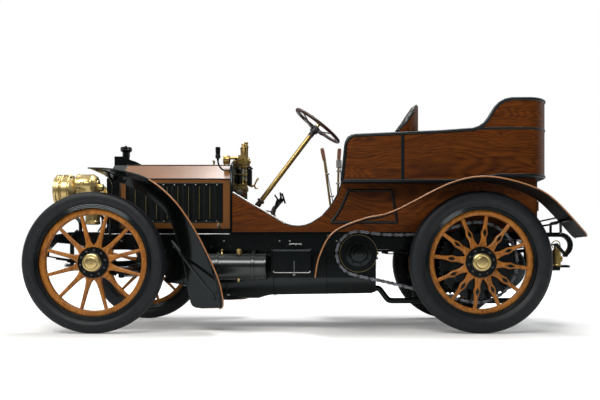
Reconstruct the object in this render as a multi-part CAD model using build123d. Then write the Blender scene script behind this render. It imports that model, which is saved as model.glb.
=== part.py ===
from build123d import *
import os
from math import asin, atan2, cos, degrees, hypot, pi, radians, sin

# Chain-driven touring car of the brass era, an open four-seater with a rear-entrance tonneau.
# Stations: x runs rearward from the front axle, y to the car's right, z up from the ground, in millimetres.
# The exported part is moved along x so that its origin lies under the middle of its length.

# Wheels
WHEELBASE = 2500.0
TRACK = 1400.0
SPOKES = 12
RIM_DEPTH = 26.0            # steel rim, radially
RIM_WIDTH = 66.0
FELLOE_WIDTH = 40.0
SPOKE_THICKNESS = 30.0
HUB_FLANGE_R = 100.0
HUB_FLANGE_T = 8.0
HUB_BARREL_R = 46.0
HUB_CAP_R = 52.0
HUB_CAP_OUT = 65.0          # outer face of the hub cap from the wheel's middle plane
SPINDLE_R = 25.0
SPINDLE_OUT = 38.0          # spindle's outer end from the wheel's middle plane
RUNNING_GAP = 0.3           # radial clearance of turning fits
TYRE_SIDES = 52             # facets around a tyre
BELLY_SHARE = 0.45          # widest place of a tyre, as a share of its height over the rim
SHOULDER_SHARE = 0.86       # shoulder, as the same share
EDGE_SHARE = 0.42           # shoulder from the middle, as a share of the tyre's width
TREAD_SHARE = 0.25          # half of the flat tread, as a share of the tyre's width

# Tyre diameter, tyre width and felloe depth of each axle
FRONT_TYRE_D, FRONT_TYRE_W, FRONT_FELLOE = 915.0, 105.0, 38.0
REAR_TYRE_D, REAR_TYRE_W, REAR_FELLOE = 920.0, 120.0, 34.0
FRONT_SPOKE_PHASE = 15.0
REAR_SPOKE_PHASE = 7.2
# Half width of a spoke: columns are radius, half width
FRONT_SPOKE = [(100.0, 31.0), (128.0, 20.0), (170.0, 14.5), (325.0, 10.5)]
REAR_SPOKE = [(100.0, 31.0), (135.0, 21.0), (158.0, 18.0), (192.0, 24.0), (228.0, 13.5), (320.0, 12.0)]
DIAMOND_R, DIAMOND_HALF_L, DIAMOND_HALF_W, DIAMOND_T = 192.0, 28.0, 11.5, 3.0
HUB_WOOD_R = 122.0

# Frame
RAIL_Y = 400.0              # middle of each side rail
RAIL_W = 50.0
RAIL_TOP = 667.0
RAIL_H = 120.0
RAIL_T = 6.0
RAIL_FRONT_X = -440.0
RAIL_REAR_X = 2985.0
DUMB_IRON_DROP = 135.0      # spring eye below the rail's top
KICK_UP_X = 2200.0          # where the rail starts to thin towards the rear
REAR_RAIL_H = 52.0
SCROLL_BAR = 30.0           # bar of the rear scroll irons, square
SCROLL_REACH = 118.0        # straight length behind the rail
SCROLL_BEND = 72.0
# Cross members: columns are x, width
CROSS_MEMBERS = [
    (-188.0, 70.0),
    (905.0, 60.0),
    (1560.0, 60.0),
    (2120.0, 60.0),
    (2930.0, 60.0),
    (2740.0, 60.0),
]
CROSS_MEMBER_H = 60.0
FRONT_MEMBER_H = 72.0
SILL_H = 25.0

# Axles, springs and steering
KINGPIN_INSET = 90.0        # kingpin inboard of the wheel's middle plane
KINGPIN_Y = TRACK / 2 - KINGPIN_INSET
KINGPIN_R = 14.0
AXLE_EYE_R = 31.0
AXLE_EYE_H = 78.0
AXLE_BAR = 50.0
AXLE_DROP = 55.0            # middle of the front axle below the wheel centre
AXLE_DROP_IN = 130.0        # end of the drop, inboard of the kingpin
AXLE_DROP_Y = KINGPIN_Y - AXLE_DROP_IN
KNUCKLE_LUG_T = 26.0
STEER_ARM = 150.0
TIE_ROD_R = 11.0
TIE_ROD_Z = 372.0
DRAG_ARM = 163.0
DRAG_ARM_ANGLE = 25.0
DRAG_Z = 540.0
DRAG_R = 9.0
DRAG_CRANK = 14.0           # set of the link away from the turned tyre
DROP_ARM_X = 760.0
DROP_ARM_L = 100.0
REAR_AXLE_BAR = 58.0
LEAF_T = 8.0
LEAF_W = 45.0
FRONT_SPRING_HALF = 428.0
REAR_SPRING_FRONT_X = 1955.0
REAR_SPRING_REAR_X = 3083.0
REAR_SPRING_REAR_Z = 592.0

# Chain drive
CHAIN_PITCH = 38.0
FRONT_TEETH = 24
REAR_TEETH = 44
CHAIN_IN = 125.0            # chain plane inboard of the wheel's middle plane
CHAIN_Y = TRACK / 2 - CHAIN_IN
CHAIN_W = 26.0
CHAIN_H = 22.0              # across a link at its pins
CHAIN_WAIST = 13.0          # twice the link's outer half between its pins
CHAIN_INNER_WAIST = 19.2    # twice its inner half, where it lies on the sprockets
CHAIN_SAG = 44.0            # of the upper run
CHAIN_SEAT = 0.6
SPROCKET_T = 12.0
COUNTERSHAFT_X = 1714.0
COUNTERSHAFT_Z = 519.0
COUNTERSHAFT_R = 26.0
DRUM_R = 186.0

# Bonnet, radiator and dash
BONNET_FRONT_X = 60.0
DASH_X = 838.0
DASH_T = 22.0
DASH_HALF_W = 410.0
DASH_EDGE_Z = 1118.0
DASH_TOP_Z = 1206.0
GAUGE_X, GAUGE_Y, GAUGE_Z = 766.0, -200.0, 1192.0   # round gauge ahead of the dash
GAUGE_R, GAUGE_L = 31.0, 38.0
BONNET_HALF_W = 330.0
BONNET_SHOULDER_Z = 1042.0
BONNET_RIDGE_Z = 1160.0
BONNET_RIDGE_HALF_W = 150.0
BONNET_T = 8.0
LOUVRE_X0, LOUVRE_X1, LOUVRE_Z0, LOUVRE_Z1 = 105.0, 774.0, 740.0, 1010.0
LOUVRES = 9
RADIATOR_FRONT_X = -32.0
TANK_HALF_W = 62.0          # radiator's header tank
HEADER_FRONT_X, HEADER_TOP_Z = -58.0, 1238.0
FILLER_X, FILLER_TOP_Z = 11.0, 1313.0
ENGINE_L, ENGINE_W, ENGINE_TOP, ENGINE_BOTTOM = 560.0, 300.0, 980.0, 430.0

# Body
SIDE_T = 22.0
LOWER_HALF_W = 450.0
UPPER_HALF_W = 560.0
LEDGE_Z = 1000.0
REAR_LEDGE_Z = 1037.0
BODY_REAR_X = 2925.0
LEDGE_BEND_X = (2387.0, 2652.0)     # where the ledge starts and ends its rise
TUB_REAR_X = 2990.0
TUB_CORNER_R = 150.0
SEAT_FRONT_X = 1605.0
TUB_TOP_Z = 1550.0
TOE_TOP_Z = 930.0
TOE_FOOT_Z = 722.0
FLOOR_Z = 690.0
FOOTWELL_X = 1215.0
FRONT_SEAT_REAR_X = 2060.0
SEAT_BOX_T = 20.0
REAR_SEAT_X0 = 2420.0
BACKREST_X = 2130.0
BACKREST_TOP_Z = 1533.0
BACKREST_CORNER_R = 150.0
BACK_T = 20.0
DOOR_HALF_W = 220.0
DOOR_GAP = 6.0
DOOR_BOTTOM_Z = 704.0
DOOR_HINGES = (860.0, 1420.0)
HINGE_R = 8.0
HINGE_H = 34.0
HINGE_PIN_R = 4.5
PAD_GAP = 3.0
# Front seat, columns x, z: front edge of the wooden cheek, front of the leather squab
CHEEK_EDGE = [(1990.0, 1339.0), (2048.0, 1398.0), (2087.0, 1464.0), (2109.0, 1511.0)]
SQUAB_FRONT = [(1946.0, 1335.0), (2004.0, 1408.0), (2054.0, 1492.0), (2086.0, 1522.0)]
CUSHION_H = 110.0
REAR_CUSHION_H = 100.0
REAR_SQUAB_T = 75.0

# Wings
WING_GAP = 6.0              # from the upper body's side
WING_WIDTH = 290.0
VALANCE_W = 54.0            # inner part of the front wing, beyond its knee
WING_T = 4.0
KNEE_SHARE = 0.22
STAY_R = 9.0
# Front wing: columns are outer edge x, z and inner edge x, z
FRONT_WING = [
    (12.0, 1050.0, 32.0, 1036.0),
    (120.0, 1047.0, 108.0, 1003.0),
    (236.0, 1031.0, 212.0, 955.0),
    (395.0, 978.0, 344.0, 876.0),
    (546.0, 853.0, 446.0, 772.0),
    (660.0, 697.0, 510.0, 607.0),
    (760.0, 511.0, 562.0, 418.0),
    (835.0, 333.0, 588.0, 246.0),
    (868.0, 172.0, 612.0, 160.0),
]
# Rear wing: line through these points, columns x from the rear axle, z
REAR_WING = [
    (-1066.0, 365.0),
    (-1039.0, 501.0),
    (-952.0, 649.0),
    (-767.0, 733.0),
    (-573.0, 782.0),
    (-229.0, 953.0),
    (-4.0, 999.0),
    (233.0, 957.0),
    (418.0, 866.0),
    (622.0, 652.0),
]
WING_STRIPS = 18            # straight strips along a rear wing

# Fittings
LAMP_Y = 350.0
LAMP_Z = 949.0
LAMP_R = 115.0
LAMP_FRONT_X = -356.0
LAMP_L = 128.0
GENERATOR_X, GENERATOR_Z = -221.0, 993.0    # front and middle of the gas drum behind a lamp
GENERATOR_R, GENERATOR_L = 76.0, 134.0
POT_X, POT_Z, POT_R = -123.0, 726.0, 48.0   # carbide pot below it
COLUMN_Y = 280.0
COLUMN_R = 19.0
WHEEL_X, WHEEL_Z = 1424.0, 1525.0
STEERING_WHEEL_R = 200.0
RIM_BAR_R = 13.0
TANK_R = 90.0
TANK_X0, TANK_X1 = 650.0, 1092.0
TANK_BANDS = (763.0, 1004.0)
TANK_Z = 430.0
TANK_Y = -437.0
FUEL_R, FUEL_HALF_L, FUEL_Z = 155.0, 330.0, 425.0      # fuel tank across the rear of the frame
FUEL_HANGER_Y = 240.0
TRAY_HALF_W = 318.0
# Underside of the tray with the flywheel's well: columns are x, z
TRAY_LINE = [
    (372.0, 322.0),
    (478.0, 307.0),
    (752.0, 250.0),
    (900.0, 205.0),
    (1010.0, 204.0),
    (1062.0, 222.0),
    (1112.0, 232.0),
    (1812.0, 243.0),
    (1845.0, 254.0),
]
TRAY_T = 4.0
TRAY_R = 150.0
BOX_X0, BOX_X1, BOX_Z0 = 1136.0, 1400.0, 386.0
BOX_OUT = 540.0
PIPE_Y, PIPE_Z, PIPE_R = -250.0, 190.0, 20.0
PIPE_END_X = 2830.0
LEVER_Y = 520.0
LEVER_PIVOT_Z = 640.0
CRANK_Z = 600.0
CRANK_ARM = 160.0
STEP_FRONT_X, STEP_REAR_X = 3098.0, 3236.0
STEP_HALF_W = 200.0
STEP_Z = 440.0
STEP_T = 16.0
STEP_HANGER_Y = 150.0
STEP_HANGER_R = 12.0
TAIL_LAMP_Y = -252.0
TAIL_LAMP_R = 28.0
TAIL_LAMP_H = 150.0
POST_R = 15.0               # side-lamp post
POST_L = 70.0
POST_X, POST_Y, POST_Z = 757.0, 420.0, 1178.0

FRONT_R = FRONT_TYRE_D / 2
REAR_R = REAR_TYRE_D / 2
RAIL_BOTTOM = RAIL_TOP - RAIL_H
RAIL_OUT = RAIL_Y + RAIL_W / 2
RAIL_IN = RAIL_Y - RAIL_W / 2
WING_IN = UPPER_HALF_W + WING_GAP
WING_OUT = WING_IN + WING_WIDTH
WING_KNEE = WING_IN + VALANCE_W
INSIDE_HALF_W = LOWER_HALF_W - SIDE_T
CUSHION_HALF_W = UPPER_HALF_W - SIDE_T - PAD_GAP
SILL_TOP = RAIL_TOP + SILL_H
DASH_REAR_X = DASH_X + DASH_T
TRAY_FRONT_X, TRAY_REAR_X = TRAY_LINE[0][0], TRAY_LINE[-1][0]
TRAY_DEEP = min(z for x, z in TRAY_LINE)
ORIGIN_X = (STEP_REAR_X - FRONT_R) / 2

parts = {}


def add(node, *shapes):
    """Keeps the shapes as one node."""
    parts.setdefault(node, []).extend(shapes)


def xz_prism(points, y0, y1):
    """Outline of (x, z) points, extruded from y0 to y1."""
    face = make_face(Polyline(*points, close=True))
    return extrude(Plane.XZ.offset(-y1) * face, amount=y1 - y0)


def xz_face_prism(face, y0, y1):
    """A face drawn with x and z, extruded from y0 to y1."""
    return extrude(Plane.XZ.offset(-y1) * face, amount=y1 - y0)


def yz_prism(points, x0, x1):
    """Outline of (y, z) points, extruded from x0 to x1."""
    face = make_face(Polyline(*points, close=True))
    return extrude(Plane.YZ.offset(x0) * face, amount=x1 - x0)


def block(x0, x1, y0, y1, z0, z1):
    """Box between two corners."""
    return Pos((x0 + x1) / 2, (y0 + y1) / 2, (z0 + z1) / 2) * Box(x1 - x0, y1 - y0, z1 - z0)


def rod(a, b, r):
    """Round bar from point a to point b."""
    a, b = Vector(*a), Vector(*b)
    bar = Cylinder(r, (b - a).length, align=(Align.CENTER, Align.CENTER, Align.MIN))
    return Plane(origin=a, z_dir=b - a) * bar


def bent_rod(points, r, bend):
    """Round bar along points, with each corner bent in three mitred steps."""
    knots = [Vector(*p) for p in points]
    line = [knots[0]]
    for before, corner, after in zip(knots, knots[1:], knots[2:]):
        back, on = before - corner, after - corner
        start = corner + back.normalized() * min(bend, 0.45 * back.length)
        end = corner + on.normalized() * min(bend, 0.45 * on.length)
        for t in (0.0, 0.33, 0.67, 1.0):
            line.append(start * (1 - t) ** 2 + corner * (2 * t * (1 - t)) + end * t ** 2)
    line.append(knots[-1])
    path = Polyline(*line)
    section = Plane(origin=path @ 0, z_dir=path % 0) * Circle(r)
    return sweep(section, path=path, transition=Transition.RIGHT)


def lathe(points):
    """Turned piece about Z from (radius, z) points."""
    return revolve(make_face(Plane.XZ * Polyline(*points, close=True)), axis=Axis.Z)


def faceted_lathe(points, sides):
    """Turned piece about Z from (radius, z) points, as flat facets with one corner straight down."""
    faces = []
    for i in range(sides):
        turns = [2 * pi * k / sides for k in (i, i + 1)]
        for (r0, z0), (r1, z1) in zip(points, points[1:] + points[:1]):
            ring = [(r0, z0, turns[0]), (r1, z1, turns[0]), (r1, z1, turns[1]), (r0, z0, turns[1])]
            corners = [Vector(r * cos(t), r * sin(t), z) for r, z, t in ring]
            faces.append(Face(Wire.make_polygon(corners, close=True)))
    return Solid(Shell(faces))


def both(shape):
    """The left piece and its mirror image on the right."""
    return [shape, mirror(shape, about=Plane.XZ)]


def arc_points(x, z, r, start, end, steps):
    """Points on an arc about (x, z) from one angle to another, in degrees."""
    turns = [radians(start + (end - start) * i / steps) for i in range(steps + 1)]
    return [(x + r * cos(t), z + r * sin(t)) for t in turns]


# Wheels


def spoke_outline(table):
    """One spoke as a polygon along +X from its (radius, half width) table."""
    return Polyline(*[(r, w) for r, w in table], *[(r, -w) for r, w in reversed(table)], close=True)


def wheel(tyre_d, tyre_w, felloe, table, phase, rear):
    """Tyre, wooden wheel and metal of one wheel, turning about Z, outboard side towards +Z."""
    tyre_r = tyre_d / 2
    rim_out = tyre_r - tyre_w + RIM_DEPTH - 4
    rim_in = rim_out - RIM_DEPTH
    side, rim_half = tyre_w / 2, RIM_WIDTH / 2
    belly = rim_out + BELLY_SHARE * (tyre_r - rim_out)
    shoulder = rim_out + SHOULDER_SHARE * (tyre_r - rim_out)
    crown, edge = TREAD_SHARE * tyre_w, EDGE_SHARE * tyre_w
    seat = rim_out / cos(pi / TYRE_SIDES) + 0.02
    section = [
        (seat, -rim_half), (belly, -side), (shoulder, -edge), (tyre_r, -crown),
        (tyre_r, crown), (shoulder, edge), (belly, side), (seat, rim_half),
    ]
    tyre = faceted_lathe(section, TYRE_SIDES)
    flat = Circle(HUB_WOOD_R) - Circle(HUB_BARREL_R)
    for i in range(SPOKES):
        flat += Rot(0, 0, phase + 360 * i / SPOKES) * make_face(spoke_outline(table))
    flat = flat & Circle(rim_in - felloe / 2)
    wood = extrude(flat, amount=SPOKE_THICKNESS / 2, both=True)
    ring = Cylinder(rim_in, FELLOE_WIDTH) - Cylinder(rim_in - felloe, FELLOE_WIDTH)
    wood = wood + ring
    face = SPOKE_THICKNESS / 2
    flange = face + HUB_FLANGE_T
    core = SPINDLE_R + RUNNING_GAP
    metal = [lathe([(rim_in, -rim_half), (rim_out, -rim_half), (rim_out, rim_half), (rim_in, rim_half)])]
    inner = -REAR_HUB_IN if rear else -FRONT_HUB_IN
    hub = lathe([
        (core, inner), (HUB_BARREL_R, inner), (HUB_BARREL_R, -flange), (HUB_FLANGE_R, -flange),
        (HUB_FLANGE_R, -face), (HUB_BARREL_R, -face), (HUB_BARREL_R, face), (HUB_FLANGE_R, face),
        (HUB_FLANGE_R, flange), (HUB_CAP_R, flange), (HUB_CAP_R, HUB_CAP_OUT - 8),
        (HUB_CAP_R - 10, HUB_CAP_OUT), (0, HUB_CAP_OUT), (0, SPINDLE_OUT + 6), (core, SPINDLE_OUT + 6),
    ])
    if rear:
        hub += drum_and_sprocket()
        near, far = DIAMOND_R - DIAMOND_HALF_L, DIAMOND_R + DIAMOND_HALF_L
        diamond = [(near, 0), (DIAMOND_R, DIAMOND_HALF_W), (far, 0), (DIAMOND_R, -DIAMOND_HALF_W)]
        plate = extrude(make_face(Polyline(*diamond, close=True)), amount=DIAMOND_T)
        for i in range(SPOKES):
            metal.append(Pos(0, 0, face) * Rot(0, 0, phase + 360 * i / SPOKES) * plate)
    metal.append(hub)
    return tyre, wood, metal


def pitch_radius(teeth):
    return CHAIN_PITCH / (2 * sin(pi / teeth))


def tip_radius(teeth):
    """Tooth tips run just inside the chain's inner edge."""
    return pitch_radius(teeth) - CHAIN_H / 2 - CHAIN_SEAT


def toothed_face(teeth):
    """Sprocket outline with straight-flanked teeth."""
    tip = tip_radius(teeth)
    root = tip - CHAIN_PITCH * 0.3
    step = 2 * pi / teeth
    points = []
    for i in range(teeth):
        for radius, share in ((root, -0.3), (tip, -0.14), (tip, 0.14), (root, 0.3)):
            angle = step * (i + share)
            points.append((radius * cos(angle), radius * sin(angle)))
    return make_face(Polyline(*points, close=True))


REAR_HUB_IN = CHAIN_IN + SPROCKET_T / 2 + 10
FRONT_HUB_IN = 36.0


def drum_and_sprocket():
    """Brake drum bolted behind the spokes, with the driven sprocket on its inner edge."""
    front = -SPOKE_THICKNESS / 2 - HUB_FLANGE_T
    back = -CHAIN_IN - SPROCKET_T / 2
    bore = HUB_BARREL_R - 2
    drum = lathe([(bore, front), (DRUM_R, front), (DRUM_R, back + SPROCKET_T), (bore, back + SPROCKET_T)])
    sprocket = Pos(0, 0, back) * extrude(toothed_face(REAR_TEETH) - Circle(bore), amount=SPROCKET_T)
    return drum + sprocket


def place_wheels():
    front = wheel(FRONT_TYRE_D, FRONT_TYRE_W, FRONT_FELLOE, FRONT_SPOKE, FRONT_SPOKE_PHASE, False)
    rear = wheel(REAR_TYRE_D, REAR_TYRE_W, REAR_FELLOE, REAR_SPOKE, 90 - REAR_SPOKE_PHASE, True)
    rows = [("front", 0.0, FRONT_R, front), ("rear", WHEELBASE, REAR_R, rear)]
    for axle, x, z, (tyre, wood, metal) in rows:
        left = Pos(x, -TRACK / 2, z) * Rot(90, 0, 0)
        for kind, shapes in (("tyre", [tyre]), ("wood_wheel", [wood]), ("rim_and_hub", metal)):
            for shape in shapes:
                placed = left * shape
                add(f"{axle}_left_{kind}", placed)
                add(f"{axle}_right_{kind}", mirror(placed, about=Plane.XZ))


# Frame, axles and springs


def scroll_tip():
    """Lower end of a rear scroll iron, (x, z)."""
    turn, bar_z = RAIL_REAR_X + SCROLL_REACH, RAIL_TOP - SCROLL_BAR / 2 - 2
    return turn + SCROLL_BEND * cos(radians(50)), bar_z - SCROLL_BEND - SCROLL_BEND * sin(radians(50))


def side_rail():
    """Left pressed-steel rail, a channel open to the inside, with dumb iron and scroll iron."""
    thin = RAIL_TOP - REAR_RAIL_H
    eye_z = RAIL_TOP - DUMB_IRON_DROP
    outline = [
        (RAIL_REAR_X, RAIL_TOP), (-250.0, RAIL_TOP), (-360.0, RAIL_TOP - 18), (-425.0, RAIL_TOP - 58),
        (RAIL_FRONT_X - 10, eye_z + 12), (RAIL_FRONT_X + 4, eye_z - 6), (RAIL_FRONT_X + 38, eye_z + 18),
        (-360.0, RAIL_TOP - 72), (-250.0, RAIL_TOP - 82), (30.0, RAIL_BOTTOM), (KICK_UP_X, RAIL_BOTTOM),
        (KICK_UP_X + 180, thin), (RAIL_REAR_X, thin),
    ]
    face = make_face(Polyline(*outline, close=True))
    rail = xz_face_prism(face, -RAIL_OUT, -RAIL_IN)
    hollow = offset(face, amount=-RAIL_T, kind=Kind.INTERSECTION)
    rail -= xz_face_prism(hollow, -RAIL_OUT + RAIL_T, -RAIL_IN + 1)
    start, turn = RAIL_REAR_X - 2 * RAIL_T, RAIL_REAR_X + SCROLL_REACH
    half = SCROLL_BAR / 2
    bar_z = RAIL_TOP - half - 2
    centre_z = bar_z - SCROLL_BEND
    bar = [(start, bar_z + half)]
    bar += arc_points(turn, centre_z, SCROLL_BEND + half, 90, -50, 8)
    bar += arc_points(turn, centre_z, SCROLL_BEND - half, -50, 90, 8)
    bar.append((start, bar_z - half))
    scroll = xz_prism(bar, -RAIL_Y - half, -RAIL_Y + half)
    plug = block(start - 4, RAIL_REAR_X, -RAIL_OUT + RAIL_T / 2, -RAIL_IN, thin, RAIL_TOP)
    return rail + scroll + plug


def frame():
    rail = side_rail()
    shaft_hole = rod((DROP_ARM_X, 0, STEER_BOX_Z), (DROP_ARM_X, 2 * RAIL_OUT, STEER_BOX_Z), CROSS_SHAFT_R + 1)
    add("side_rails", rail, mirror(rail, about=Plane.XZ) - shaft_hole)
    reach = RAIL_OUT - RAIL_T
    for x, width in CROSS_MEMBERS:
        top = RAIL_TOP - RAIL_T
        height = REAR_RAIL_H - 2 * RAIL_T if x > KICK_UP_X else CROSS_MEMBER_H
        if x < 0:
            height = FRONT_MEMBER_H
        add("cross_members", block(x - width / 2, x + width / 2, -reach, reach, top - height, top))
    sill = block(RADIATOR_FRONT_X, DASH_X, -RAIL_OUT, -BONNET_HALF_W + 14, RAIL_TOP, RAIL_TOP + SILL_H)
    for shape in both(sill):
        add("cross_members", shape)


def leaf_pack(centre, front_eye, rear_eye, leaves):
    """Semi-elliptic pack: the main leaf bends from eye to eye, and each leaf under it is shorter."""
    def point(s, depth):
        end = rear_eye if s > 0 else front_eye
        x = centre[0] + (end[0] - centre[0]) * abs(s)
        return x, centre[1] + (end[1] - centre[1]) * s * s - depth

    shares = [1 - i / (leaves + 0.6) for i in range(leaves)]
    top = [point(s / 8, 0) for s in range(-8, 9)]
    under = []
    for i in range(leaves):
        depth = LEAF_T * (i + 1)
        under.append(point(shares[i], depth))
        under.append(point(shares[i + 1] if i + 1 < leaves else shares[i] / 2, depth))
    left = []
    for i in range(leaves):
        depth = LEAF_T * (i + 1)
        left.append(point(-shares[i], depth))
        left.append(point(-shares[i + 1] if i + 1 < leaves else -shares[i] / 2, depth))
    outline = top + under + left[::-1]
    return xz_prism(outline, -RAIL_Y - LEAF_W / 2, -RAIL_Y + LEAF_W / 2)


def springs():
    rail = parts["side_rails"][0]
    y0, y1 = -RAIL_Y - 20, -RAIL_Y + 20
    eye_x, eye_z = FRONT_SPRING_HALF, RAIL_TOP - DUMB_IRON_DROP - 24
    seat = FRONT_R - AXLE_DROP + AXLE_BAR / 2 + 5 * LEAF_T
    front = leaf_pack((0.0, seat), (-eye_x, eye_z), (eye_x, eye_z), 5)
    front += block(eye_x - 22, eye_x + 22, y0, y1, eye_z - 2, RAIL_BOTTOM)
    front += block(-eye_x - 14, -eye_x + 16, y0, y1, eye_z - 2, RAIL_TOP - DUMB_IRON_DROP)
    for shape in both(front - rail):
        add("leaf_springs", shape)
    rear_seat = REAR_R + REAR_AXLE_BAR / 2 + 5 * LEAF_T
    ahead = (REAR_SPRING_FRONT_X, RAIL_BOTTOM - 10)
    behind = (REAR_SPRING_REAR_X, REAR_SPRING_REAR_Z)
    rear = leaf_pack((WHEELBASE, rear_seat), ahead, behind, 5)
    rear += block(ahead[0] - 25, ahead[0] + 25, y0, y1, ahead[1] - 4, RAIL_BOTTOM)
    tip_x, tip_z = scroll_tip()
    pin = (tip_x - 8, tip_z - 14)
    rear += rod((behind[0] - 4, -RAIL_Y, behind[1] - 6), (pin[0], -RAIL_Y, pin[1] + 2), 11)
    rear += rod((pin[0], -RAIL_Y - 24, pin[1]), (pin[0], -RAIL_Y + 24, pin[1]), 12)
    for shape in both(rear - rail):
        add("leaf_springs", shape)


def front_axle():
    """Forged beam, dropped in the middle, with an upright eye at each end for the kingpin."""
    half = AXLE_BAR / 2
    low = FRONT_R - AXLE_DROP
    flat = KINGPIN_Y - AXLE_EYE_R - 10
    rise = [(AXLE_DROP_Y, low), (flat, FRONT_R), (KINGPIN_Y, FRONT_R)]
    line = [(-y, z) for y, z in reversed(rise)] + rise
    outline = [(y, z - half) for y, z in line] + [(y, z + half) for y, z in reversed(line)]
    beam = yz_prism(outline, -half, half)
    web = 12.0
    for x0 in (-half, web - half + 1):
        beam -= block(x0, x0 + half - 12, -330, 330, low - half + 12, low + half - 12)
    for y in (-KINGPIN_Y, KINGPIN_Y):
        beam += Pos(0, y, FRONT_R) * Cylinder(AXLE_EYE_R, AXLE_EYE_H)
    for y in (-KINGPIN_Y, KINGPIN_Y):
        beam -= Pos(0, y, FRONT_R) * Cylinder(KINGPIN_R + RUNNING_GAP, 2 * AXLE_EYE_H)
    return beam


def knuckle():
    """Left steering knuckle: fork over the axle's eye, kingpin, spindle and steering arm."""
    lug_z = AXLE_EYE_H / 2 + 0.5
    low, high = FRONT_R - lug_z - KNUCKLE_LUG_T, FRONT_R + lug_z + KNUCKLE_LUG_T
    plate_in = KINGPIN_Y + AXLE_EYE_R + 6
    plate_out = TRACK / 2 - FRONT_HUB_IN - 1
    shape = rod((0, -KINGPIN_Y, low), (0, -KINGPIN_Y, high), KINGPIN_R)
    for z0 in (FRONT_R + lug_z, low):
        shape += Pos(0, -KINGPIN_Y, z0 + KNUCKLE_LUG_T / 2) * Cylinder(AXLE_EYE_R, KNUCKLE_LUG_T)
        shape += block(-26, 26, -plate_out, -KINGPIN_Y, z0, z0 + KNUCKLE_LUG_T)
    shape += block(-30, 30, -plate_out, -plate_in, low, high)
    shape += rod((0, -plate_in, FRONT_R), (0, -TRACK / 2 - SPINDLE_OUT, FRONT_R), SPINDLE_R)
    shape += block(0, STEER_ARM, -KINGPIN_Y - 13, -KINGPIN_Y + 13, low, low + 18)
    shape += Pos(STEER_ARM, -KINGPIN_Y, low + 9) * Cylinder(18, 18)
    shape += rod((STEER_ARM, -KINGPIN_Y, TIE_ROD_Z - 16), (STEER_ARM, -KINGPIN_Y, low + 9), 9)
    return shape


def drag_pin():
    """Pin of the right knuckle's drag arm, (x, y)."""
    angle = radians(DRAG_ARM_ANGLE)
    return DRAG_ARM * sin(angle), KINGPIN_Y - DRAG_ARM * cos(angle)


def steering():
    left = knuckle()
    add("left_knuckle", left)
    x, y = drag_pin()
    top = FRONT_R + AXLE_EYE_H / 2 + 0.5 + KNUCKLE_LUG_T
    arm = rod((0, KINGPIN_Y, top - 14), (x, y, top - 14), 10) + Pos(x, y, top - 14) * Cylinder(17, 24)
    pin = rod((x, y, top - 14), (x, y, DRAG_Z + 16), 8)
    add("right_knuckle", mirror(left, about=Plane.XZ) + arm + pin)
    rod_eye = Cylinder(19, 26) - Cylinder(9 + RUNNING_GAP, 40)
    tie = rod((STEER_ARM, -KINGPIN_Y + 12, TIE_ROD_Z), (STEER_ARM, KINGPIN_Y - 12, TIE_ROD_Z), TIE_ROD_R)
    for side in (-1, 1):
        tie -= Pos(STEER_ARM, side * KINGPIN_Y, TIE_ROD_Z) * Cylinder(16, 40)
        tie += Pos(STEER_ARM, side * KINGPIN_Y, TIE_ROD_Z) * rod_eye
    add("tie_rod", tie)
    drag_eye = Cylinder(17, 20) - Cylinder(8 + RUNNING_GAP, 30)
    tail = DROP_ARM_X - 26
    inner = y - DRAG_CRANK
    line = [(x + 12, y), (x + 90, y), (x + 150, inner), (tail - 130, inner), (tail - 70, y), (tail, y)]
    link = bent_rod([(along, across, DRAG_Z) for along, across in line], DRAG_R, 25)
    link -= Pos(x, y, DRAG_Z) * Cylinder(14, 20)
    link += Pos(x, y, DRAG_Z) * drag_eye
    add("drag_link", link)
    shaft_end = y + 16
    arm_y = y
    drop = rod((DROP_ARM_X, arm_y - 14, STEER_BOX_Z), (DROP_ARM_X, arm_y + 14, STEER_BOX_Z), 30)
    drop += block(DROP_ARM_X - 13, DROP_ARM_X + 13, arm_y - 8, arm_y + 8, DRAG_Z, STEER_BOX_Z)
    drop += rod((DROP_ARM_X, arm_y - 13, DRAG_Z), (DROP_ARM_X, arm_y + 13, DRAG_Z), 17)
    bore = CROSS_SHAFT_R + RUNNING_GAP
    drop -= rod((DROP_ARM_X, 0, STEER_BOX_Z), (DROP_ARM_X, 2 * arm_y, STEER_BOX_Z), bore)
    add("drop_arm", drop)
    column_foot = (DROP_ARM_X - 6, COLUMN_Y, STEER_BOX_Z)
    direction = Vector(WHEEL_X - column_foot[0], 0, WHEEL_Z - column_foot[2]).normalized()
    head = Vector(WHEEL_X, COLUMN_Y, WHEEL_Z) - direction * HUB_DROP
    column = rod(column_foot, tuple(head), COLUMN_R)
    low = STEER_BOX_Z - 62
    gear_box = block(DROP_ARM_X - 62, DROP_ARM_X + 50, COLUMN_Y - 45, RAIL_IN - 0.5, low, RAIL_TOP - 1)
    shaft = rod((DROP_ARM_X, RAIL_IN - 4, STEER_BOX_Z), (DROP_ARM_X, shaft_end, STEER_BOX_Z), CROSS_SHAFT_R)
    add("steering_column", column + gear_box + shaft)
    plane = Plane(origin=(WHEEL_X, COLUMN_Y, WHEEL_Z), z_dir=direction)
    corners = [radians(22.5 + 45 * i) for i in range(8)]
    rim = lathe([(STEERING_WHEEL_R + RIM_BAR_R * cos(t), RIM_BAR_R * sin(t)) for t in corners])
    spider = rod((0, 0, RUNNING_GAP - HUB_DROP), (0, 0, RUNNING_GAP - 8), 30)
    for i in range(4):
        angle = radians(45 + 90 * i)
        c, s = cos(angle), sin(angle)
        spider += rod((22 * c, 22 * s, -HUB_DROP + 24), (STEERING_WHEEL_R * c, STEERING_WHEEL_R * s, 0), 8)
    add("steering_wheel", plane * (rim + spider))


HUB_DROP = 62.0             # steering wheel's hub below the rim's plane
STEER_BOX_Z = DRAG_Z + DROP_ARM_L
CROSS_SHAFT_R = 16.0


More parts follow.
